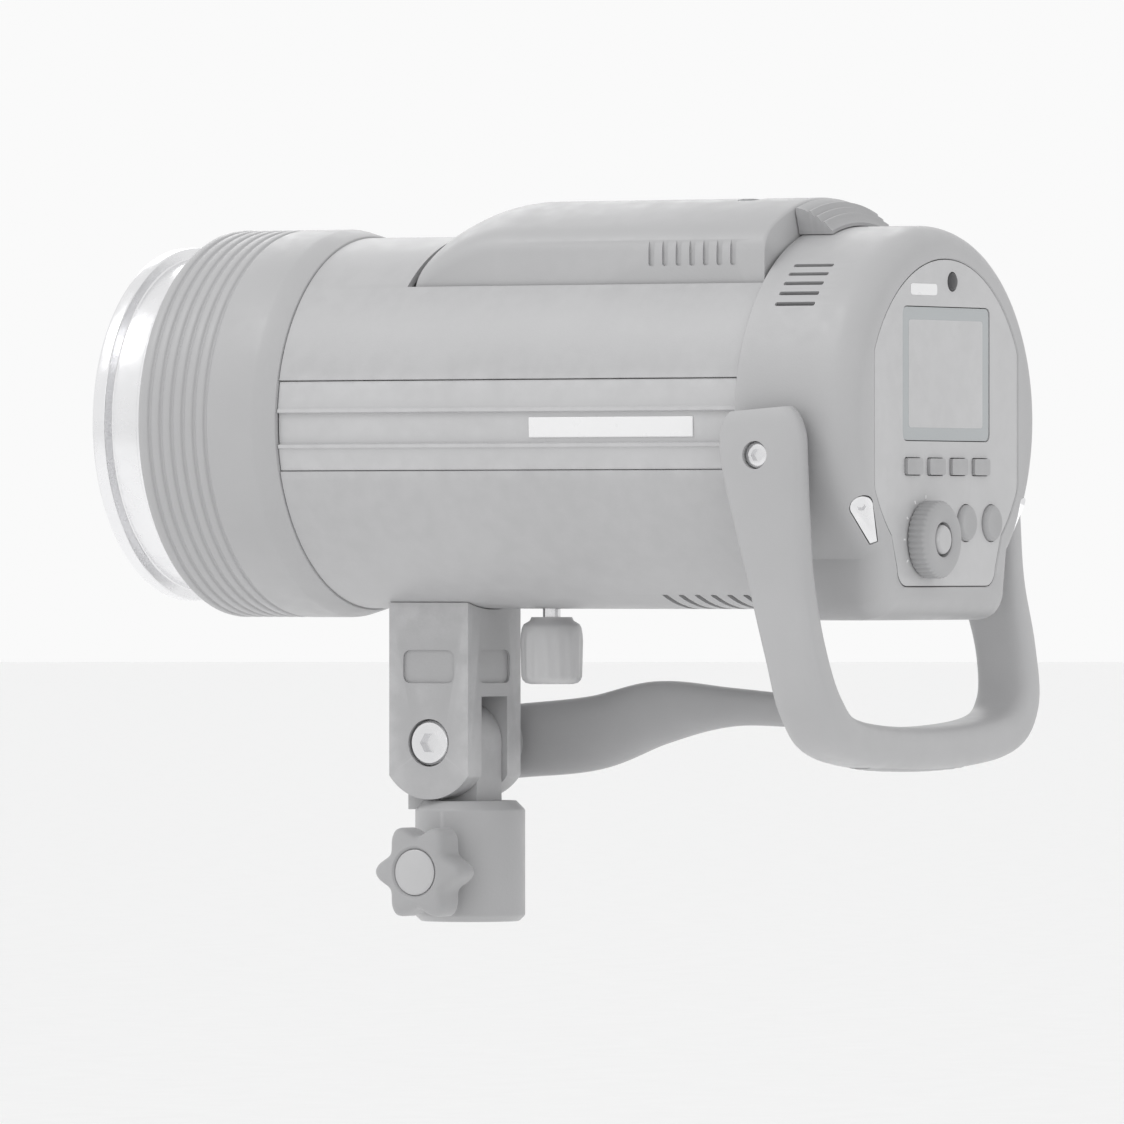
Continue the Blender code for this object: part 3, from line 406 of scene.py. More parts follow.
def piece(name, bm, mat, stands_for=(), body="head", bevel=0.0, cuts=(), joins=(), segments=2, angle=30):
    """One finished piece: its shape, edges and material, the body it rides on, the node it stands for."""
    mesh = bpy.data.meshes.new(name)
    bm.to_mesh(mesh)
    bm.free()
    obj = bpy.data.objects.new(name, mesh)
    bpy.context.collection.objects.link(obj)
    combine(obj, joins, "UNION")
    combine(obj, cuts, "DIFFERENCE")
    obj.data.materials.clear()
    obj.data.materials.append(mat)
    obj.data.shade_smooth()
    obj.data.set_sharp_from_angle(angle=math.radians(40))
    if bevel:
        soften(obj, bevel, segments, angle)
    nodes = (stands_for,) if isinstance(stands_for, str) else tuple(stands_for)
    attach(obj, BODY_OF[nodes[0]] if nodes else body)
    if nodes:
        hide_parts(*nodes)
    return obj


def keep(node_name, mat, bevel=0.0003):
    """A CAD node whose shape stays: its points are joined, its edges eased, its material set."""
    obj = frame["nodes"][node_name]
    obj.data.materials.clear()
    obj.data.materials.append(mat)
    weld = obj.modifiers.new("weld", "WELD")
    weld.merge_threshold = 0.00001
    soften(obj, bevel, 2, 35)


def hex_socket(axis, face, depth, size, centre):
    """The cutter of a hexagon socket in a screw's head."""
    return turned([(size, face - depth), (size, face + 0.002)], axis, centre, 6, closed=False)


# ---- casing ------------------------------------------------------------------------------
def casing(mats):
    top_from = math.degrees(math.asin((low("barrel_upper").z - AXIS_Z) / BARREL_IN))
    low_to = math.degrees(math.asin((high("barrel_lower").z - AXIS_Z) / BARREL_IN))
    tray = box_of("battery_tray")
    bay = block((tray[0].x, tray[1].x), (tray[0].y - GAP, 0.2), (AXIS_Z + 0.020, AXIS_Z + 0.1))
    piece("casing_upper", prism(sector(BARREL_R, BARREL_IN, top_from, 180 - top_from, 96), Y, *BARREL_Y),
          mats["shell"], "barrel_upper", 0.0005, cuts=(bay,))
    screw = mid("umbrella_screw")
    cuts = [rod(0.0036, Z, 0.09, 0.12, (0, screw.y, 0))]
    for i in range(7):
        y = 0.0900 + 0.0062 * i
        cuts.append(plate(0.0240, 0.0011, 0.0010, (0.0, y), Z, 0.09, 0.12))
    piece("casing_lower", prism(sector(BARREL_R, BARREL_IN, 180 - low_to, 360 + low_to, 96), Y, *BARREL_Y),
          mats["shell"], "barrel_lower", 0.0005, cuts=cuts)
    for side, name in ((1, "right"), (-1, "left")):
        side_rail(mats, side, name)


RAIL_STEPS = ((-0.0163, 0.0), (-0.0092, 0.0), (-0.0088, 0.0005), (-0.0078, 0.0005), (-0.0074, -0.0007),
              (0.0026, -0.0007), (0.0030, 0.0005), (0.0040, 0.0005), (0.0044, 0.0), (0.0133, 0.0))


def side_rail(mats, side, name):
    """Rail between the casing shells, with a channel between two ribs and a plain bar in it."""
    face = high("side_rail_right").x
    outer = []
    for (z0, rise0), (z1, rise1) in zip(RAIL_STEPS, RAIL_STEPS[1:]):
        steps = max(1, round((z1 - z0) / 0.0015))
        for k in range(steps):
            z, rise = z0 + (z1 - z0) * k / steps, rise0 + (rise1 - rise0) * k / steps
            outer.append((side * math.sqrt((face + rise) ** 2 - z * z), AXIS_Z + z))
    z_top = RAIL_STEPS[-1][0]
    outer.append((side * math.sqrt(face ** 2 - z_top ** 2), AXIS_Z + z_top))
    inner = []
    for k in range(21):
        z = z_top + (RAIL_STEPS[0][0] - z_top) * k / 20
        inner.append((side * math.sqrt((BARREL_IN + 0.0002) ** 2 - z * z), AXIS_Z + z))
    piece(f"rail_{name}", prism(outer + inner, Y, *BARREL_Y), mats["panel"], f"side_rail_{name}", 0.0002)
    bar = []
    for radius, span in ((face - 0.0002, (-0.0058, 0.0010)), (face - 0.0009, (0.0010, -0.0058))):
        for k in range(7):
            z = span[0] + (span[1] - span[0]) * k / 6
            bar.append((side * math.sqrt(radius ** 2 - z * z), AXIS_Z + z))
    piece(f"plain_bar_{name}", prism(bar, Y, 0.0600, 0.1230), mats["mark"], bevel=0.0004, segments=3)


def front_end(mats):
    """Collar with turned grooves, the bright accessory ring, the plate behind it and the lock."""
    y0, y1 = COLLAR_Y
    profile = [(0.0605, y0), (COLLAR_R - 0.0018, y0), (COLLAR_R, y0 + 0.0022)]
    for i in range(6):
        y = y0 + 0.0046 + 0.0044 * i
        profile += [(COLLAR_R, y), (COLLAR_R - 0.0008, y + 0.0004), (COLLAR_R - 0.0008, y + 0.0014),
                    (COLLAR_R, y + 0.0018)]
    profile += [(COLLAR_R, y1 - 0.0080), (BARREL_R + 0.0007, y1), (0.0605, y1)]
    lock = mid("mount_lock")
    slot = block((-0.08, -0.05), (LOCK_Y - 0.0070, LOCK_Y + 0.0145), (lock.z - 0.0028, lock.z + 0.0028))
    piece("collar", turned(fillet(profile, 0.0008, 2)), mats["shell"], "front_collar", cuts=(slot,))
    dot = fillet([(0.0001, 0.0), (0.0016, 0.0), (0.0016, 0.0005), (0.0001, 0.0006)], 0.0002)
    piece("alignment_dot", turned(dot, Z, at_axis(0, y0 + 0.0034, COLLAR_R - 0.0003), 24, closed=False),
          mats["mark"])
    y0, y1 = RING_Y
    groove = RING_R - 0.0035
    profile = [(RING_BORE, y0), (RING_R - 0.0006, y0), (RING_R, y0 + 0.0008), (RING_R, y0 + 0.0050),
               (groove, y0 + 0.0060), (groove, y1 - 0.0040), (RING_R, y1 - 0.0030), (RING_R, y1),
               (RING_BORE, y1)]
    notches = [prism(sector(LOCK_R, 0.0450, a - 14, a + 14, 24), Y, y0 - 0.01, y0 + 0.0120)
               for a in (90, 210, 330)]
    pin_hole = rod(0.0024, Y, y0 - 0.01, y1 + 0.01, at_axis(-LOCK_R, 0, 0))
    piece("accessory_ring", turned(fillet(profile, 0.0005, 3), count=144), mats["ring"], "bayonet_ring",
          cuts=(*notches, pin_hole))
    front_plate(mats)
    mount_lock(mats)


def front_plate(mats):
    y0, y1 = low("front_plate").y, high("front_plate").y
    outer, bore = high("front_plate").x, 0.0365
    profile = [(bore, y0), (outer, y0), (outer, y1), (bore, y1)]
    cuts = [rod(0.0054, Y, y0 - 0.01, y1 + 0.01, at_axis(0, 0, UMBRELLA_Z)),
            rod(0.0026, Y, y0 - 0.01, y1 + 0.01, at_axis(-LOCK_R, 0, 0))]
    piece("shutter_plate", turned(fillet(profile, 0.0004, 2)), mats["shell"], "front_plate", cuts=cuts)
    front, back = y0 - 0.0012, y0 - 0.0002
    head = fillet([(0.0002, front), (0.0016, front), (0.0020, back), (0.0002, back)], 0.0003)
    for angle in (45, 135, 225, 315):
        centre = at_axis(0.0440 * math.cos(math.radians(angle)), 0, 0.0440 * math.sin(math.radians(angle)))
        piece(f"plate_screw_{angle}", turned(head, Y, centre, 24, closed=False), mats["steel"],
              cuts=(hex_socket(-Y, -front, 0.0006, 0.0008, centre),))


def mount_lock(mats):
    a, b = box_of("mount_lock")
    z = (a.z + b.z) / 2
    grip = plate(0.0085, 0.0060, 0.0022, (LOCK_Y, z), X, a.x + 0.0008, -0.0658)
    ribs = [block((a.x, a.x + 0.0015), (LOCK_Y + 0.0022 * k - 0.0005, LOCK_Y + 0.0022 * k + 0.0005),
                  (z - 0.0048, z + 0.0048)) for k in (-2, -1, 0, 1, 2)]
    stem = block((-0.0665, -0.0510), (LOCK_Y - 0.0062, LOCK_Y - 0.0012), (z - 0.0022, z + 0.0022))
    pin = turned([(0.0012, a.y), (0.0020, a.y + 0.0008), (0.0020, LOCK_Y - 0.0030)], Y,
                 at_axis(-LOCK_R, 0, 0), 24, closed=False)
    piece("lock_slider", grip, mats["rubber"], "mount_lock", 0.0003, joins=(*ribs, stem, pin))


# ---- flash and modelling light -----------------------------------------------------------
def flash(mats):
    y0 = low("reflector").y
    lip = high("reflector").x
    back, edge = high("reflector").y, y0 - 0.0145
    dish = [(lip, y0), (lip, y0 + 0.0008), (0.0342, y0 + 0.0008), (0.0318, back), (0.0130, back),
            (0.0130, back - 0.0008), (0.0306, back - 0.0008), (0.0332, y0)]
    legs = [at_axis(TUBE_RING_R * math.cos(math.radians(a)), 0, TUBE_RING_R * math.sin(math.radians(a)))
            for a in (250, 290)]
    piece("dish", turned(fillet(dish, 0.0006, 2)), mats["dish"], "reflector",
          cuts=[rod(0.0048, Y, back - 0.01, back + 0.01, leg) for leg in legs])
    base_r, tip_y = high("glass_dome").x, low("glass_dome").y
    outer, inner = [(base_r, y0 - 0.0003), (base_r, y0 - 0.0020)], [(base_r - 0.0024, y0 - 0.0003)]
    for i in range(25):
        angle = math.pi / 2 * i / 24 * 0.985
        rise = edge - tip_y
        outer.append(((base_r - 0.0006) * math.cos(angle), edge - rise * math.sin(angle)))
        inner.append(((base_r - 0.0024) * math.cos(angle), edge - (rise - 0.0022) * math.sin(angle)))
    piece("dome", turned(outer[::-1] + inner, closed=False), mats["glass"], "glass_dome")
    ring_tube(mats)
    led = box_of("modelling_led")
    front, back = led[0].y, led[1].y
    base = fillet([(0.0002, back), (0.0105, back), (0.0105, front + 0.0012), (0.0090, front + 0.0006),
                   (0.0002, front + 0.0006)], 0.0003)
    rows, half = (-0.0044, -0.0022, 0.0, 0.0022, 0.0044), 0.0007
    chips = [block((x - half, x + half), (front, front + 0.0010), (AXIS_Z + z - half, AXIS_Z + z + half))
             for x in rows for z in rows]
    piece("led_array", turned(base, count=48, closed=False), mats["led"], "modelling_led")
    piece("led_chips", merged(chips), mats["mark"])
    for name in ("tube_base", "led_heatsink"):
        keep(name, mats[SLOT_OF[name]])


def ring_tube(mats):
    """Ring-shaped flash tube on two legs, with its trigger wire wound round it."""
    radius, tube_r = TUBE_RING_R, 0.0042
    y = low("flash_tube").y + tube_r
    angles = [math.radians(-70 + 320 * i / 72) for i in range(73)]
    ring = [at_axis(radius * math.cos(a), y, radius * math.sin(a)) for a in angles]
    legs = ((0.0270, 0.0060, 0.0020), (0.0020, 0.0060, 0.0270))
    path = [ring[0] + Y * d for d in legs[0]] + ring + [ring[-1] + Y * d for d in legs[1]]
    tube("ring_tube", path, tube_r, mats["tube"], "flash_tube")
    wire = []
    for i in range(240):
        a = math.radians(-60 + 300 * i / 239)
        turn = math.tau * 20 * i / 239
        r = radius + (tube_r + 0.0003) * math.cos(turn)
        wire.append(at_axis(r * math.cos(a), y + (tube_r + 0.0003) * math.sin(turn), r * math.sin(a)))
    tube("trigger_wire", wire, 0.00025, mats["steel"], None)


def tube(name, path, radius, mat, stands_for):
    """A round-section piece along a path, as a bevelled curve."""
    curve = bpy.data.curves.new(name, "CURVE")
    curve.dimensions = "3D"
    spline = curve.splines.new("POLY")
    spline.points.add(len(path) - 1)
    for slot, point in zip(spline.points, path):
        slot.co = (*point, 1.0)
    curve.bevel_depth = radius
    curve.bevel_resolution = 5 if radius > 0.001 else 1
    curve.use_fill_caps = True
    curve.materials.append(mat)
    obj = bpy.data.objects.new(name, curve)
    bpy.context.collection.objects.link(obj)
    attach(obj, "head")
    if stands_for:
        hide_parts(stands_for)


# ---- battery -----------------------------------------------------------------------------
def battery_outline(crown):
    """The pack's section: upright sides, rounded shoulders and a crown round the optical axis."""
    shoulder = 0.0065
    x1 = BATTERY_HALF_X - shoulder
    z1 = math.sqrt(crown ** 2 - x1 ** 2)
    z_corner = z1 - x1 / z1 * shoulder
    curve = []
    for k in range(9):
        t = k / 8
        start, stop = z1 * (1 - t) + z_corner * t, z_corner * (1 - t) + (z_corner - 0.0055) * t
        curve.append((BATTERY_HALF_X * t * (2 - t) + x1 * (1 - t) ** 2, start * (1 - t) + stop * t))
    half = [(x, math.sqrt(crown ** 2 - x * x)) for x in (x1 * k / 20 for k in range(20))]
    right = half + curve + [(BATTERY_HALF_X, BATTERY_BASE + 0.0018),
                            (BATTERY_HALF_X - 0.0018, BATTERY_BASE)]
    left = [(-x, z) for x, z in right[:0:-1]]
    return [(x, AXIS_Z + z) for x, z in right + left]


LEVEL_Y = 0.1140        # window of the charge lights, along the pack


def battery(mats):
    y0, y1 = BATTERY_Y
    stations = []
    for k in range(25):
        t = (k / 24) ** 1.6
        rise = math.sin(math.pi / 2 * t) ** 0.8
        stations.append((BARREL_R + 0.0002 + (BATTERY_R - BARREL_R - 0.0002) * rise, y0 + 0.0320 * t))
    stations += [(BATTERY_R, y1 - 0.0012), (BATTERY_R - 0.0004, y1 - 0.0004), (BATTERY_R - 0.0010, y1)]
    loops = [[Vector((x, y, z)) for x, z in battery_outline(crown)] for crown, y in stations]
    cuts = [block((-0.0150, 0.0150), (y0 + 0.0100, y0 + 0.0280),
                  (AXIS_Z + 0.02, AXIS_Z + BATTERY_BASE + 0.0040))]
    for side in (1, -1):
        for k in range(7):
            y = y1 - 0.0120 - 0.0052 * k
            cuts.append(plate(0.0011, 0.0052, 0.0010, (y, AXIS_Z + 0.0560), X,
                              side * (BATTERY_HALF_X - 0.0008), side * (BATTERY_HALF_X + 0.01)))
    top = AXIS_Z + BATTERY_R
    cuts.append(plate(0.0125, 0.0040, 0.0035, (0.0, LEVEL_Y), Z, top - 0.0015, AXIS_Z + 0.09))
    piece("battery", skin(loops), mats["shell"], "battery_pack", 0.0004, cuts=cuts, angle=50)
    piece("level_lens", plate(0.0121, 0.0036, 0.0033, (0.0, LEVEL_Y), Z, top - 0.0014, top - 0.0009),
          mats["display"], body="battery", bevel=0.0002)
    dots = [turned([(0.0009, 0.0), (0.0007, 0.0003)], Z, (x, LEVEL_Y, top - 0.0010), 20, closed=False)
            for x in (-0.0075, -0.0035, 0.0005, 0.0045)]
    piece("level_lights", merged(dots), mats["mark"], body="battery")
    button = fillet([(0.0001, 0.0), (0.0018, 0.0), (0.0018, 0.0006), (0.0001, 0.0008)], 0.0003)
    piece("level_button", turned(button, Z, (0.0090, LEVEL_Y, top - 0.0010), 24, closed=False),
          mats["rubber"], body="battery")
    latch(mats)
    for name in ("battery_tray", "battery_contacts"):
        keep(name, mats[SLOT_OF[name]])


def latch(mats):
    """Sloping release behind the pack, with ridges for a thumb."""
    y0, y1 = low("battery_latch").y, high("battery_latch").y
    shoulder, foot = BATTERY_R - 0.0012, y0 + 0.0036
    stations = [(y0, BATTERY_R - 0.0010), (y0 + 0.0006, BATTERY_R - 0.0003), (foot, shoulder)]
    slope = (shoulder - HOUSING_R - 0.0016) / (y1 - foot)
    for k in range(3):
        y = y0 + 0.0046 + 0.0024 * k
        crown = shoulder - slope * (y - foot)
        stations += [(y, crown), (y + 0.0004, crown + 0.0005), (y + 0.0010, crown + 0.0004),
                     (y + 0.0014, crown - 0.0004)]
    stations += [(y1 - 0.0008, HOUSING_R + 0.0021), (y1, HOUSING_R + 0.0014)]
    loops = [[Vector((x, y, z)) for x, z in sector(crown, HOUSING_R + GAP, 72, 108, 32)]
             for y, crown in stations]
    piece("latch", skin(loops), mats["rubber"], "battery_latch", 0.0004, angle=50)


# ---- rear housing and controls -----------------------------------------------------------
def housing_outline(inset, half_x=1.0):
    """Round crown and flat base, drawn in by an inset and no wider than half_x each side."""
    foot_x, corner = 0.0440 - inset, 0.0060
    base = HOUSING_BASE + inset
    points = arc(HOUSING_R - inset, -46, 226, 96)
    points += arc(corner, 180, 270, 7, (-foot_x + corner, base + corner))
    points += arc(corner, 270, 360, 7, (foot_x - corner, base + corner))
    return [(max(-half_x, min(half_x, x)), AXIS_Z + z) for x, z in points]


def level_loop(inset, y, half_x=1.0):
    return [Vector((x, y, z)) for x, z in housing_outline(inset, half_x)]


VENT_Y = 0.1560         # middle of the housing's vent slots


def housing(mats):
    y0, y1 = HOUSING_Y
    loops = [level_loop(0.0004, y0), level_loop(0.0, y0 + 0.0004), level_loop(0.0, y0 + 0.0050)]
    for k in range(10):
        angle = math.pi / 2 * k / 9
        loops.append(level_loop(0.0078 * (1 - math.cos(angle)), y1 - 0.0105 * (1 - math.sin(angle))))
    inset, half_x = PANEL_INSET - GAP, PANEL_HALF_X + GAP
    loops += [level_loop(inset - 0.0004, y1, half_x + 0.0004), level_loop(inset, y1 - 0.0004, half_x),
              level_loop(inset, y1 - 0.0040, half_x), level_loop(0.0045, y1 - 0.0065),
              level_loop(WALL, y1 - 0.0110), level_loop(WALL, y0 + 0.0030)]
    centre, radius = (0.0, AXIS_Z), BARREL_IN - 0.0020
    opening = arc(radius, -46, 226, 96, centre) + arc(radius, 229, 311, 15, centre)
    loops += [[Vector((x, y, z)) for x, z in opening] for y in (y0 + 0.0030, y0)]
    ports = mid("port_block")
    cuts = [plate(0.0100, 0.0080, 0.0015, (ports.y, ports.z), X, -0.08, -0.05),
            rod(0.0025, X, -0.08, 0.08, (0, *GRIP_SCREW))]
    for side in (1, -1):
        for angle in (36, 40, 44, 48, 52):
            cuts.append(vent(side, angle))
    for side in (1, -1):
        cuts.append(plate(0.0110, 0.0007, 0.0006, (side * 0.0210, VENT_Y), Z, 0.09,
                          AXIS_Z + HOUSING_BASE + 0.0006))
        cuts.append(drop(side, GAP, -0.0033, 0.0080))
    piece("rear_cap", skin(loops, closed=True), mats["shell"], "rear_housing", 0.0003, cuts=cuts, angle=55)


def vent(side, degrees):
    """The cutter of one slot through the housing's wall."""
    bm = plate(0.0008, 0.0075, 0.0007, (0.0, VENT_Y), Z, HOUSING_R - 0.006, HOUSING_R + 0.004)
    turn = Matrix.Translation(at_axis(0, 0, 0)) @ Matrix.Rotation(side * math.radians(90 - degrees), 4, "Y")
    bmesh.ops.transform(bm, matrix=turn, verts=bm.verts)
    return bm


PANEL_CUT = (0.17, 0.19)        # the cutters of the panel's holes run from before it to behind it


def panel(mats):
    y0, y1 = PANEL_Y
    dial = Vector((DIAL.x, 0, DIAL.z))
    window = box_of("display_window")
    width, height = (window[1].x - window[0].x) / 2, (window[1].z - window[0].z) / 2
    centre = (0.0, (window[0].z + window[1].z) / 2)
    cuts = [plate(width + GAP, height + GAP, 0.0030, centre, Y, *PANEL_CUT),
            rod(0.0079, Y, *PANEL_CUT, dial, 64)]
    sensor = mid("sensor_window")
    cuts.append(rod(0.0033, Y, *PANEL_CUT, (sensor.x, 0, sensor.z)))
    for i in range(4):
        key = box_of(f"function_button_{i + 1}")
        middle = ((key[0].x + key[1].x) / 2, (key[0].z + key[1].z) / 2)
        cuts.append(plate(0.0055, 0.0030, 0.0012, middle, Y, *PANEL_CUT))
    for name in ("test_button", "power_button"):
        cuts.append(rod(0.0063, Y, *PANEL_CUT, (mid(name).x, 0, mid(name).z), 48))
    outline = housing_outline(PANEL_INSET, PANEL_HALF_X)
    piece("panel", prism(outline, Y, y0, y1), mats["panel"], "rear_panel", 0.0003, cuts=cuts, angle=40)
    piece("screen_cover", plate(width, height, 0.0028, centre, Y, window[0].y, window[1].y), mats["display"],
          "display_window", 0.0004, segments=3)
    piece("screen_frame", plate(width - 0.0042, height - 0.0042, 0.0015, centre, Y, window[1].y - 0.0004,
                                window[1].y + 0.00004), mats["panel"], bevel=0.0)
    lens = fillet([(0.0030, low("sensor_window").y), (0.0030, y1), (0.0022, y1 + 0.0008),
                   (0.0004, y1 + 0.0010)], 0.0003, closed=False)
    piece("sensor_lens", turned(lens, Y, (sensor.x, 0, sensor.z), 32, closed=False), mats["fan"],
          "sensor_window")
    piece("panel_bar", plate(0.0088, 0.0019, 0.0014, (0.0152, AXIS_Z + 0.0427), Y, y1 - 0.0002, y1 + 0.0002),
          mats["mark"], bevel=0.0001)
    marks = []
    for i in range(1, 10):
        angle = math.radians(-60 + 30 * i)
        tick = block((-0.0003, 0.0003), (y1 - 0.0002, y1 + 0.00015), (DIAL_R + 0.0007, DIAL_R + 0.0018))
        turn = Matrix.Translation(dial) @ Matrix.Rotation(angle - math.radians(90), 4, "Y")
        bmesh.ops.transform(tick, matrix=turn, verts=tick.verts)
        marks.append(tick)
    piece("dial_ticks", merged(marks), mats["mark"])
    keys(mats)


def keys(mats):
    for i in range(4):
        a, b = box_of(f"function_button_{i + 1}")
        middle = ((a.x + b.x) / 2, (a.z + b.z) / 2)
        piece(f"key_{i + 1}", plate((b.x - a.x) / 2, (b.z - a.z) / 2, 0.0011, middle, Y, a.y, b.y),
              mats["rubber"], f"function_button_{i + 1}", 0.0006, segments=4)
    for node_name, name in (("test_button", "test_key"), ("power_button", "power_key")):
        a, b = box_of(node_name)
        r = (b.x - a.x) / 2
        profile = [(0.0002, b.y - 0.0006), (r * 0.45, b.y - 0.0004), (r - 0.0011, b.y), (r, b.y - 0.0009),
                   (r, a.y)]
        centre = (mid(node_name).x, 0, mid(node_name).z)
        piece(name, turned(fillet(profile, 0.0006, 4, closed=False), Y, centre, 48, closed=False),
              mats["rubber"], node_name)
    a, b = box_of("select_dial")
    centre = Vector((DIAL.x, 0, DIAL.z))

    def knurled(radius):
        return lambda angle: radius - 0.00022 * (1 - math.cos(40 * angle))

    shaft, skirt = 0.0075, PANEL_Y[1] + 0.0004
    loops = [(0.0058, a.y), (shaft, a.y), (shaft, skirt), (knurled(DIAL_R - 0.0003), skirt),
             (knurled(DIAL_R), skirt + 0.0004), (knurled(DIAL_R), b.y - 0.0016),
             (DIAL_R - 0.0007, b.y - 0.0009), (DIAL_R - 0.0016, b.y - 0.0001), (DIAL_R - 0.0026, b.y),
             (0.0064, b.y), (0.0058, b.y - 0.0005)]
    piece("dial", turned(loops, Y, centre, 320), mats["rubber"], "select_dial")
    a, b = box_of("set_button")
    r = (b.x - a.x) / 2
    profile = [(0.0002, b.y - 0.0003), (r * 0.55, b.y - 0.0002), (r - 0.0009, b.y - 0.0001),
               (r, b.y - 0.0010), (r, a.y)]
    piece("set_key", turned(fillet(profile, 0.0005, 4, closed=False), Y, centre, 48, closed=False),
          mats["panel"], "set_button")


def port_side(mats):
    """The jack block keeps its shape; bright jack sleeves and a hinged flap go with it."""
    keep("port_block", mats["fan"], 0.0002)
    block_low, block_high = box_of("port_block")
    z = (block_low.z + block_high.z) / 2
    for k, y in enumerate((0.1520, 0.1570)):
        profile = [(0.0019, 0.0), (0.0027, 0.0), (0.0027, 0.0005), (0.0019, 0.0005)]
        piece(f"jack_sleeve_{k + 1}", turned(fillet(profile, 0.0001, 2), -X, (block_low.x, y, z), 32),
              mats["steel"])
    a, b = box_of("port_cover")
    flap = prism(sector(0.0660, HOUSING_R + GAP, 180 - 28, 180 - 7, 24), Y, a.y, b.y)
    tab = plate(0.0040, 0.0016, 0.0014, ((a.y + b.y) / 2, a.z + 0.0022), X, -0.0662, -0.0650)
    piece("port_flap", flap, mats["rubber"], "port_cover", 0.0004, joins=(tab,), segments=3)


# ---- grip --------------------------------------------------------------------------------
# centre line of one arm, down to the middle of the bar: (x, y, height about the axis, width)
GRIP_ROUTE = ((0.0703, 0.1540, 0.0030, 0.0320), (0.0703, 0.1555, -0.0150, 0.0305),
              (0.0703, 0.1585, -0.0350, 0.0262), (0.0703, 0.1620, -0.0550, 0.0220),
              (0.0703, 0.1668, -0.0760, 0.0198), (0.0655, 0.1700, -0.0945, 0.0205),
              (0.0490, 0.1702, -0.1050, 0.0210), (0.0, 0.1690, -0.1085, 0.0220))


def grip_line(steps):
    """Points on the grip's centre line from one root to the other, each with its width."""
    half = [(at_axis(x, y, z), w) for x, y, z, w in GRIP_ROUTE]
    whole = half + [(Vector((-p.x, p.y, p.z)), w) for p, w in half[-2::-1]]
    widths = smooth_path([Vector((w, 0, 0)) for p, w in whole], steps)
    return smooth_path([p for p, w in whole], steps), [w.x for w in widths]


def grip(mats):
    path, widths = grip_line(8)
    sizes = []
    for point, width in zip(path, widths):
        down = min(1.0, max(0.0, (AXIS_Z - 0.050 - point.z) / 0.05))
        sizes.append([width, 0.0107 + 0.0038 * down])
    for i in range(6):
        share = math.sqrt(1 - (1 - (i + 0.4) / 6) ** 2)
        for k in (i, -1 - i):
            sizes[k] = [sizes[k][0] * (0.55 + 0.45 * share), sizes[k][1] * (0.45 + 0.55 * share)]
    cuts = []
    for side in (1, -1):
        cuts += [rod(0.0025, side * X, 0.060, 0.085, (0, *GRIP_SCREW)),
                 rod(0.0046, side * X, 0.0722, 0.085, (0, *GRIP_SCREW), 48)]
    piece("grip", sweep(path, sizes, Y, 32), mats["shell"], "grip_handle", cuts=cuts)
    pad = [p - Vector((0, 0, 0.0064)) for p in grip_line(16)[0] if abs(p.x) < 0.0350]
    sizes = []
    for i in range(len(pad)):
        end = min(1.0, (min(i, len(pad) - 1 - i) + 0.5) / 4)
        rib = 0.0003 * math.cos(math.pi * i)
        sizes.append((0.0140 * (0.6 + 0.4 * end), 0.0020 + rib))
    piece("grip_pad_rubber", sweep(pad, sizes, Y, 20), mats["rubber"], "grip_pad")
    for side, name in ((1, "right"), (-1, "left")):
        a, b = box_of(f"grip_screw_{name}")
        face = max(abs(a.x), abs(b.x))
        profile = [(0.0022, 0.0600), (0.0022, face - 0.0022), (0.0042, face - 0.0022),
                   (0.0042, face - 0.0005), (0.0036, face)]
        piece(f"grip_bolt_{name}", turned(profile, side * X, (0, *GRIP_SCREW), 40, closed=False),
              mats["steel"], f"grip_screw_{name}",
              cuts=(hex_socket(side * X, face, 0.0014, 0.0021, (0, *GRIP_SCREW)),))
        rim_screw_with_painted_highlight(mats, side, name)


# where the bright drop sits on the rear rim: a case screw whose drop shape and bright finish are a painted
# highlight
RIM_SCREW = Vector((0.0490, HOUSING_Y[1] - 0.0027, -0.0335))
RIM_SCREW_LEAN = math.radians(54)       # how far the heads face outwards
RIM_SCREW_R = 0.0038                    # round end of the drop, this far above its middle:
RIM_SCREW_UP = 0.0060
RIM_SCREW_TIP = (0.0012, 0.0080)        # half width of the narrow end, and its distance below the middle
RIM_SCREW_TOP = 0.0007


def rim_axes(side):
    """The middle of a rim screw, with its directions across, down and out."""
    out = Vector((side * RIM_SCREW.x, 0, RIM_SCREW.z)).normalized()
    normal = out * math.sin(RIM_SCREW_LEAN) + Y * math.cos(RIM_SCREW_LEAN)
    down = Vector((side * RIM_SCREW.z, 0, -RIM_SCREW.x)).normalized()
    return at_axis(side * RIM_SCREW.x, RIM_SCREW.y, RIM_SCREW.z), normal.cross(down), down, normal


def drop(side, margin, bottom, top):
    """A drop-shaped block on the rear rim's shoulder, round above and narrow below."""
    centre, across, down, normal = rim_axes(side)
    outline = [(a, -RIM_SCREW_UP - b) for a, b in arc(RIM_SCREW_R + margin, -20, 200, 24)]
    tip, foot = RIM_SCREW_TIP[0] + margin, RIM_SCREW_TIP[1] + margin
    outline += [(-tip, foot), (tip, foot)]
    return skin([[centre + across * a + down * b + normal * height for a, b in outline]
                 for height in (bottom, top)])


def rim_screw_with_painted_highlight(mats, side, name):
    """Bright steel screw head drawn as a drop, in its pocket low on the rear rim; the drop shape and bright
    finish are a painted highlight on the rim's shoulder.
    """
    centre, _, down, normal = rim_axes(side)
    socket = hex_socket(normal, RIM_SCREW_TOP, 0.0010, 0.0015, centre - down * RIM_SCREW_UP)
    # painted highlight: this bright steel drop stands in for a highlight on the rear rim's shoulder, set on a
    # real case screw
    piece(f"rim_drop_painted_highlight_{name}", drop(side, 0.0, -0.0030, RIM_SCREW_TOP), mats["steel"],
          f"case_screw_{name}", 0.0004, cuts=(socket,), segments=3)


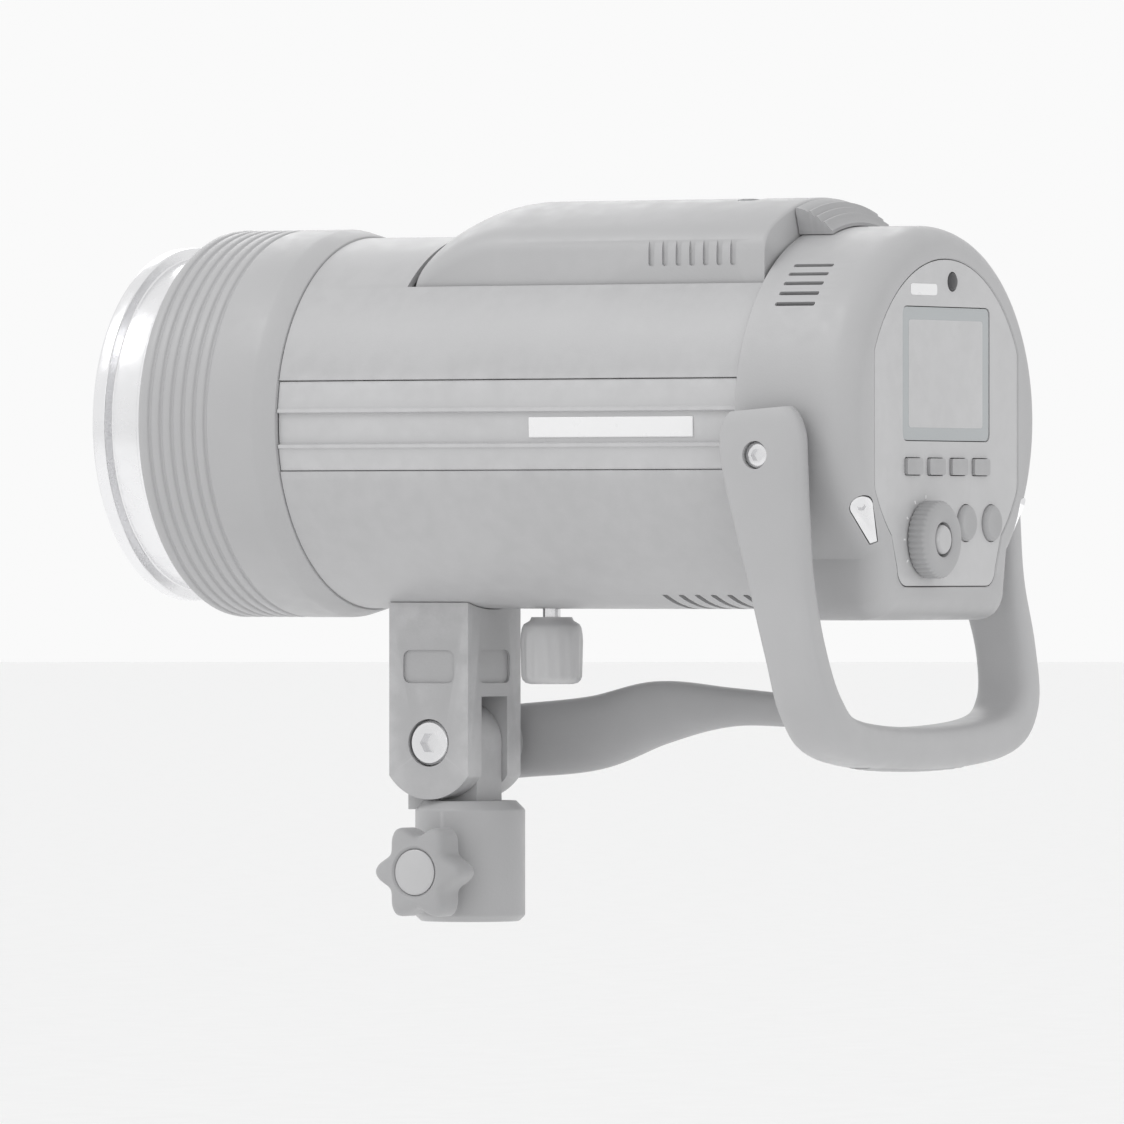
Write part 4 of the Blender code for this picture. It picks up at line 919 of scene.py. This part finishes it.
# ---- neck, tilt lock and bracket ---------------------------------------------------------
def neck(mats):
    half_x, half_y = high("neck").x, high("neck").y - PIVOT.y
    knuckle = PIVOT.z - low("neck").z
    corner = math.degrees(math.acos(half_y / knuckle))
    outline = arc(knuckle, 180 + corner, 360 - corner, 28, (PIVOT.y, PIVOT.z))
    outline += [(PIVOT.y + half_y, AXIS_Z - 0.045), (PIVOT.y - half_y, AXIS_Z - 0.045)]
    slot = block((-0.0083, 0.0083), (-0.04, 0.03), (0.030, PIVOT.z + 0.0155))
    saddle = rod(BARREL_R + GAP, Y, -0.04, 0.03, at_axis(0, 0, 0), 160)
    pocket_z = (PIVOT.z + 0.0200, high("neck").z - 0.0160)
    cuts = [slot, saddle, rod(BOLT_R + GAP, X, -0.03, 0.03, PIVOT), rod(0.0080, X, 0.0130, 0.0200, PIVOT, 48)]
    for side in (1, -1):
        cuts.append(plate(0.0100, (pocket_z[1] - pocket_z[0]) / 2, 0.0030, (PIVOT.y, sum(pocket_z) / 2), X,
                          side * (half_x - 0.0009), side * (half_x + 0.01)))
        cuts.append(plate(0.0100, (pocket_z[1] - pocket_z[0]) / 2, 0.0030, (0.0, sum(pocket_z) / 2), Y,
                          PIVOT.y + side * (half_y - 0.0009), PIVOT.y + side * (half_y + 0.01)))
    piece("forked_neck", prism(outline, X, -half_x, half_x), mats["bracket"], "neck", 0.0012, cuts=cuts,
          segments=4, angle=40)
    a, b = box_of("tilt_bolt")
    head = b.x - 0.0033
    profile = [(BOLT_R - 0.0005, a.x), (BOLT_R, a.x + 0.0006), (BOLT_R, head), (0.0075, head),
               (0.0075, b.x - 0.0007), (0.0068, b.x)]
    piece("pivot_bolt", turned(profile, X, PIVOT, 48, closed=False), mats["steel"], "tilt_bolt",
          cuts=(hex_socket(X, b.x, 0.0022, 0.0036, PIVOT),))


# points along the lever (behind the pivot, above it, depth)
LEVER_ROUTE = ((0.0040, 0.0000, 0.0250), (0.0360, 0.0030, 0.0250), (0.0620, 0.0100, 0.0215),
               (0.0900, 0.0120, 0.0130), (0.1200, 0.0105, 0.0105))


def lever(mats):
    x = -0.0310
    path = smooth_path([PIVOT + Vector((x, y, z)) for y, z, depth in LEVER_ROUTE], 12)
    depths = smooth_path([Vector((depth, 0, 0)) for y, z, depth in LEVER_ROUTE], 12)
    last = len(path) - 1
    sizes = []
    for i in range(last + 1):
        t = i / last
        tip = math.sqrt(max(0.0, 1 - max(0.0, (t - 0.93) / 0.07) ** 2))
        sizes.append(((0.0120 - 0.0030 * t) * (0.35 + 0.65 * tip), depths[i].x * (0.35 + 0.65 * tip)))
    hub = [(0.0078, -0.0175), (0.0085, -0.0182), (0.0085, -0.0232), (HUB_R - 0.0009, -0.0240),
           (HUB_R, -0.0250), (HUB_R, -0.0365), (HUB_R - 0.0009, LEVER_X[0] + 0.0001)]
    bore = rod(BOLT_R + GAP, X, -0.05, 0.0, PIVOT)
    piece("lock_lever", sweep(path, sizes, X, 32, 0.75), mats["rubber"], "tilt_lever", 0.0004,
          joins=(turned(hub, X, PIVOT, 72, closed=False),), cuts=(bore,), angle=45)
    face = low("lever_nut").x
    cap = [(0.0065, LEVER_X[0] - GAP), (0.0065, face + 0.0030)]
    for k in range(1, 9):
        angle = math.pi / 2 * k / 9
        cap.append((0.0065 * math.cos(angle), face + 0.0030 - 0.0030 * math.sin(angle)))
    piece("cap_nut", turned(cap, X, PIVOT, 48, closed=False), mats["steel"], "lever_nut")


def bracket(mats):
    """Stand receiver with its tongue and boss, and the star knob with its screw and pad."""
    radius, shoulder = 0.0185, 0.0405
    profile = [(0.0080, 0.0340), (0.0080, 0.0010), (0.0090, 0.0), (radius - 0.0020, 0.0), (radius, 0.0020),
               (radius, shoulder - 0.0030), (radius - 0.0030, shoulder)]
    tongue_r = high("stand_receiver").z - PIVOT.z
    outline = [(PIVOT.y - tongue_r, shoulder - 0.0030), *arc(tongue_r, 180, 0, 32, (PIVOT.y, PIVOT.z)),
               (PIVOT.y + tongue_r, shoulder - 0.0030)]
    tongue = prism(outline, X, -0.0080, 0.0080)
    screw = (0, 0, KNOB_Z)
    boss = turned([(0.0085, 0.0120), (0.0085, 0.0199), (0.0079, 0.0205)], X, screw, 48, closed=False)
    cuts = [rod(0.0056, X, 0.0020, 0.0125, screw), rod(BOLT_R + GAP, X, 0.0010, 0.0230, screw),
            rod(BOLT_R + GAP, X, -0.02, 0.02, PIVOT)]
    piece("receiver", turned(fillet(profile, 0.0006, 3, closed=False), Z, (0, 0, 0), 96, closed=False),
          mats["bracket"], "stand_receiver", 0.0006, joins=(tongue, boss), cuts=cuts, segments=3, angle=50)
    star_knob(mats)
    for name in ("stand_screw", "pressure_pad"):
        keep(name, mats[SLOT_OF[name]])


def star_knob(mats):
    a, b = box_of("stand_knob")

    def lobed(scale):
        return lambda angle: scale * (0.0144 + 0.0022 * math.cos(6 * angle) + 0.0001 * math.cos(12 * angle))

    start, end = a.x, b.x
    stations = [(0.0095, start), (0.0100, start + 0.0012), (lobed(0.86), start + 0.0018),
                (lobed(0.95), start + 0.0024), (lobed(1.0), start + 0.0040), (lobed(1.0), end - 0.0042),
                (lobed(0.985), end - 0.0026), (lobed(0.94), end - 0.0014), (lobed(0.86), end - 0.0006),
                (0.0098, end - 0.0002), (0.0088, end), (0.0080, end - 0.0006), (0.0078, end - 0.0012)]
    knob = turned(stations, X, (0, 0, KNOB_Z), 144, closed=False, start=math.pi / 6)
    piece("star_knob", knob, mats["rubber"], "stand_knob",
          cuts=(rod(BOLT_R + GAP, X, 0.0200, 0.0300, (0, 0, KNOB_Z)),))
    cap = [(0.0076, end - 0.0011), (0.0076, end - 0.0005), (0.0070, end - 0.0001), (0.0002, end - 0.0001)]
    piece("knob_cap", turned(cap, X, (0, 0, KNOB_Z), 64, closed=False), mats["panel"], body="stand_knob")


def umbrella_lock(mats):
    a, b = box_of("umbrella_knob")
    base = (0, mid("umbrella_screw").y, 0)

    def fluted(radius):
        return lambda angle: radius - 0.0004 * (1 - math.cos(16 * angle)) / 2

    stations = [(0.0072, a.z), (0.0088, a.z + 0.0004), (0.0098, a.z + 0.0014),
                (fluted(0.0103), a.z + 0.0026), (fluted(0.0106), b.z - 0.0080), (0.0104, b.z - 0.0060),
                (0.0100, b.z - 0.0036), (0.0094, b.z - 0.0024), (0.0074, b.z - 0.0012), (0.0068, b.z)]
    piece("shaft_knob", turned(stations, Z, base, 192, closed=False), mats["panel"], "umbrella_knob",
          cuts=(rod(0.0033, Z, 0.0890, 0.1100, base),))
    for name in ("umbrella_tube", "umbrella_screw"):
        keep(name, mats[SLOT_OF[name]])


def hidden_parts(mats):
    """Pieces inside the casing keep the shapes they have."""
    for name in ("capacitor_1", "capacitor_2", "capacitor_3", "capacitor_bracket", "main_board",
                 "power_board", "power_heatsink", "control_board", "display_module", "fan_frame",
                 "fan_rotor"):
        keep(name, mats[SLOT_OF[name]])


# ---- stage -------------------------------------------------------------------------------
def camera():
    """The photograph's view: from behind the operator's left, level, from about 4.6 m."""
    azimuth, elevation, distance = math.radians(121), 0.0, 4.6
    target = Vector((0.0, 0.0360, (CAD_BOX[0].z + CAD_BOX[1].z) / 2))
    back = Vector((math.sin(azimuth) * math.cos(elevation), -math.cos(azimuth) * math.cos(elevation),
                   math.sin(elevation)))
    data = bpy.data.cameras.new("camera")
    data.sensor_width = 36.0
    data.lens = 440.0
    data.clip_end = 200.0
    obj = bpy.data.objects.new("camera", data)
    obj.location = target + back * distance
    obj.rotation_mode = "QUATERNION"
    obj.rotation_quaternion = (-back).to_track_quat("-Z", "Y")
    bpy.context.collection.objects.link(obj)
    bpy.context.scene.camera = obj


def soft_light(name, location, size, power):
    data = bpy.data.lights.new(name, "AREA")
    data.shape = "DISK"
    data.size = size
    data.energy = power
    obj = bpy.data.objects.new(name, data)
    obj.location = location
    obj.rotation_mode = "QUATERNION"
    obj.rotation_quaternion = (at_axis(0, 0, 0) - Vector(location)).to_track_quat("-Z", "Y")
    bpy.context.collection.objects.link(obj)


def stage(mats):
    bm = bmesh.new()
    bmesh.ops.create_circle(bm, cap_ends=True, segments=96, radius=60.0)
    mesh = bpy.data.meshes.new("floor")
    bm.to_mesh(mesh)
    bm.free()
    floor = bpy.data.objects.new("floor", mesh)
    floor.location = (0, 0, -0.35)
    floor.data.materials.append(mats["floor"])
    bpy.context.collection.objects.link(floor)
    world = bpy.data.worlds.new("studio")
    world.use_nodes = True
    world.node_tree.nodes["Background"].inputs["Color"].default_value = (0.985, 0.985, 0.985, 1.0)
    world.node_tree.nodes["Background"].inputs["Strength"].default_value = 0.97
    bpy.context.scene.world = world
    bpy.context.scene.view_settings.view_transform = "Standard"
    soft_light("key", (1.6, -1.2, 2.6), 1.2, 20.0)
    soft_light("fill", (1.2, 3.2, 0.9), 1.6, 5.0)
    soft_light("rim", (-2.0, -1.6, 1.6), 1.4, 8.0)


materials = make_materials()
camera()
stage(materials)
for make in (casing, front_end, flash, battery, housing, panel, port_side, grip, neck, lever, bracket,
             umbrella_lock, hidden_parts):
    make(materials)
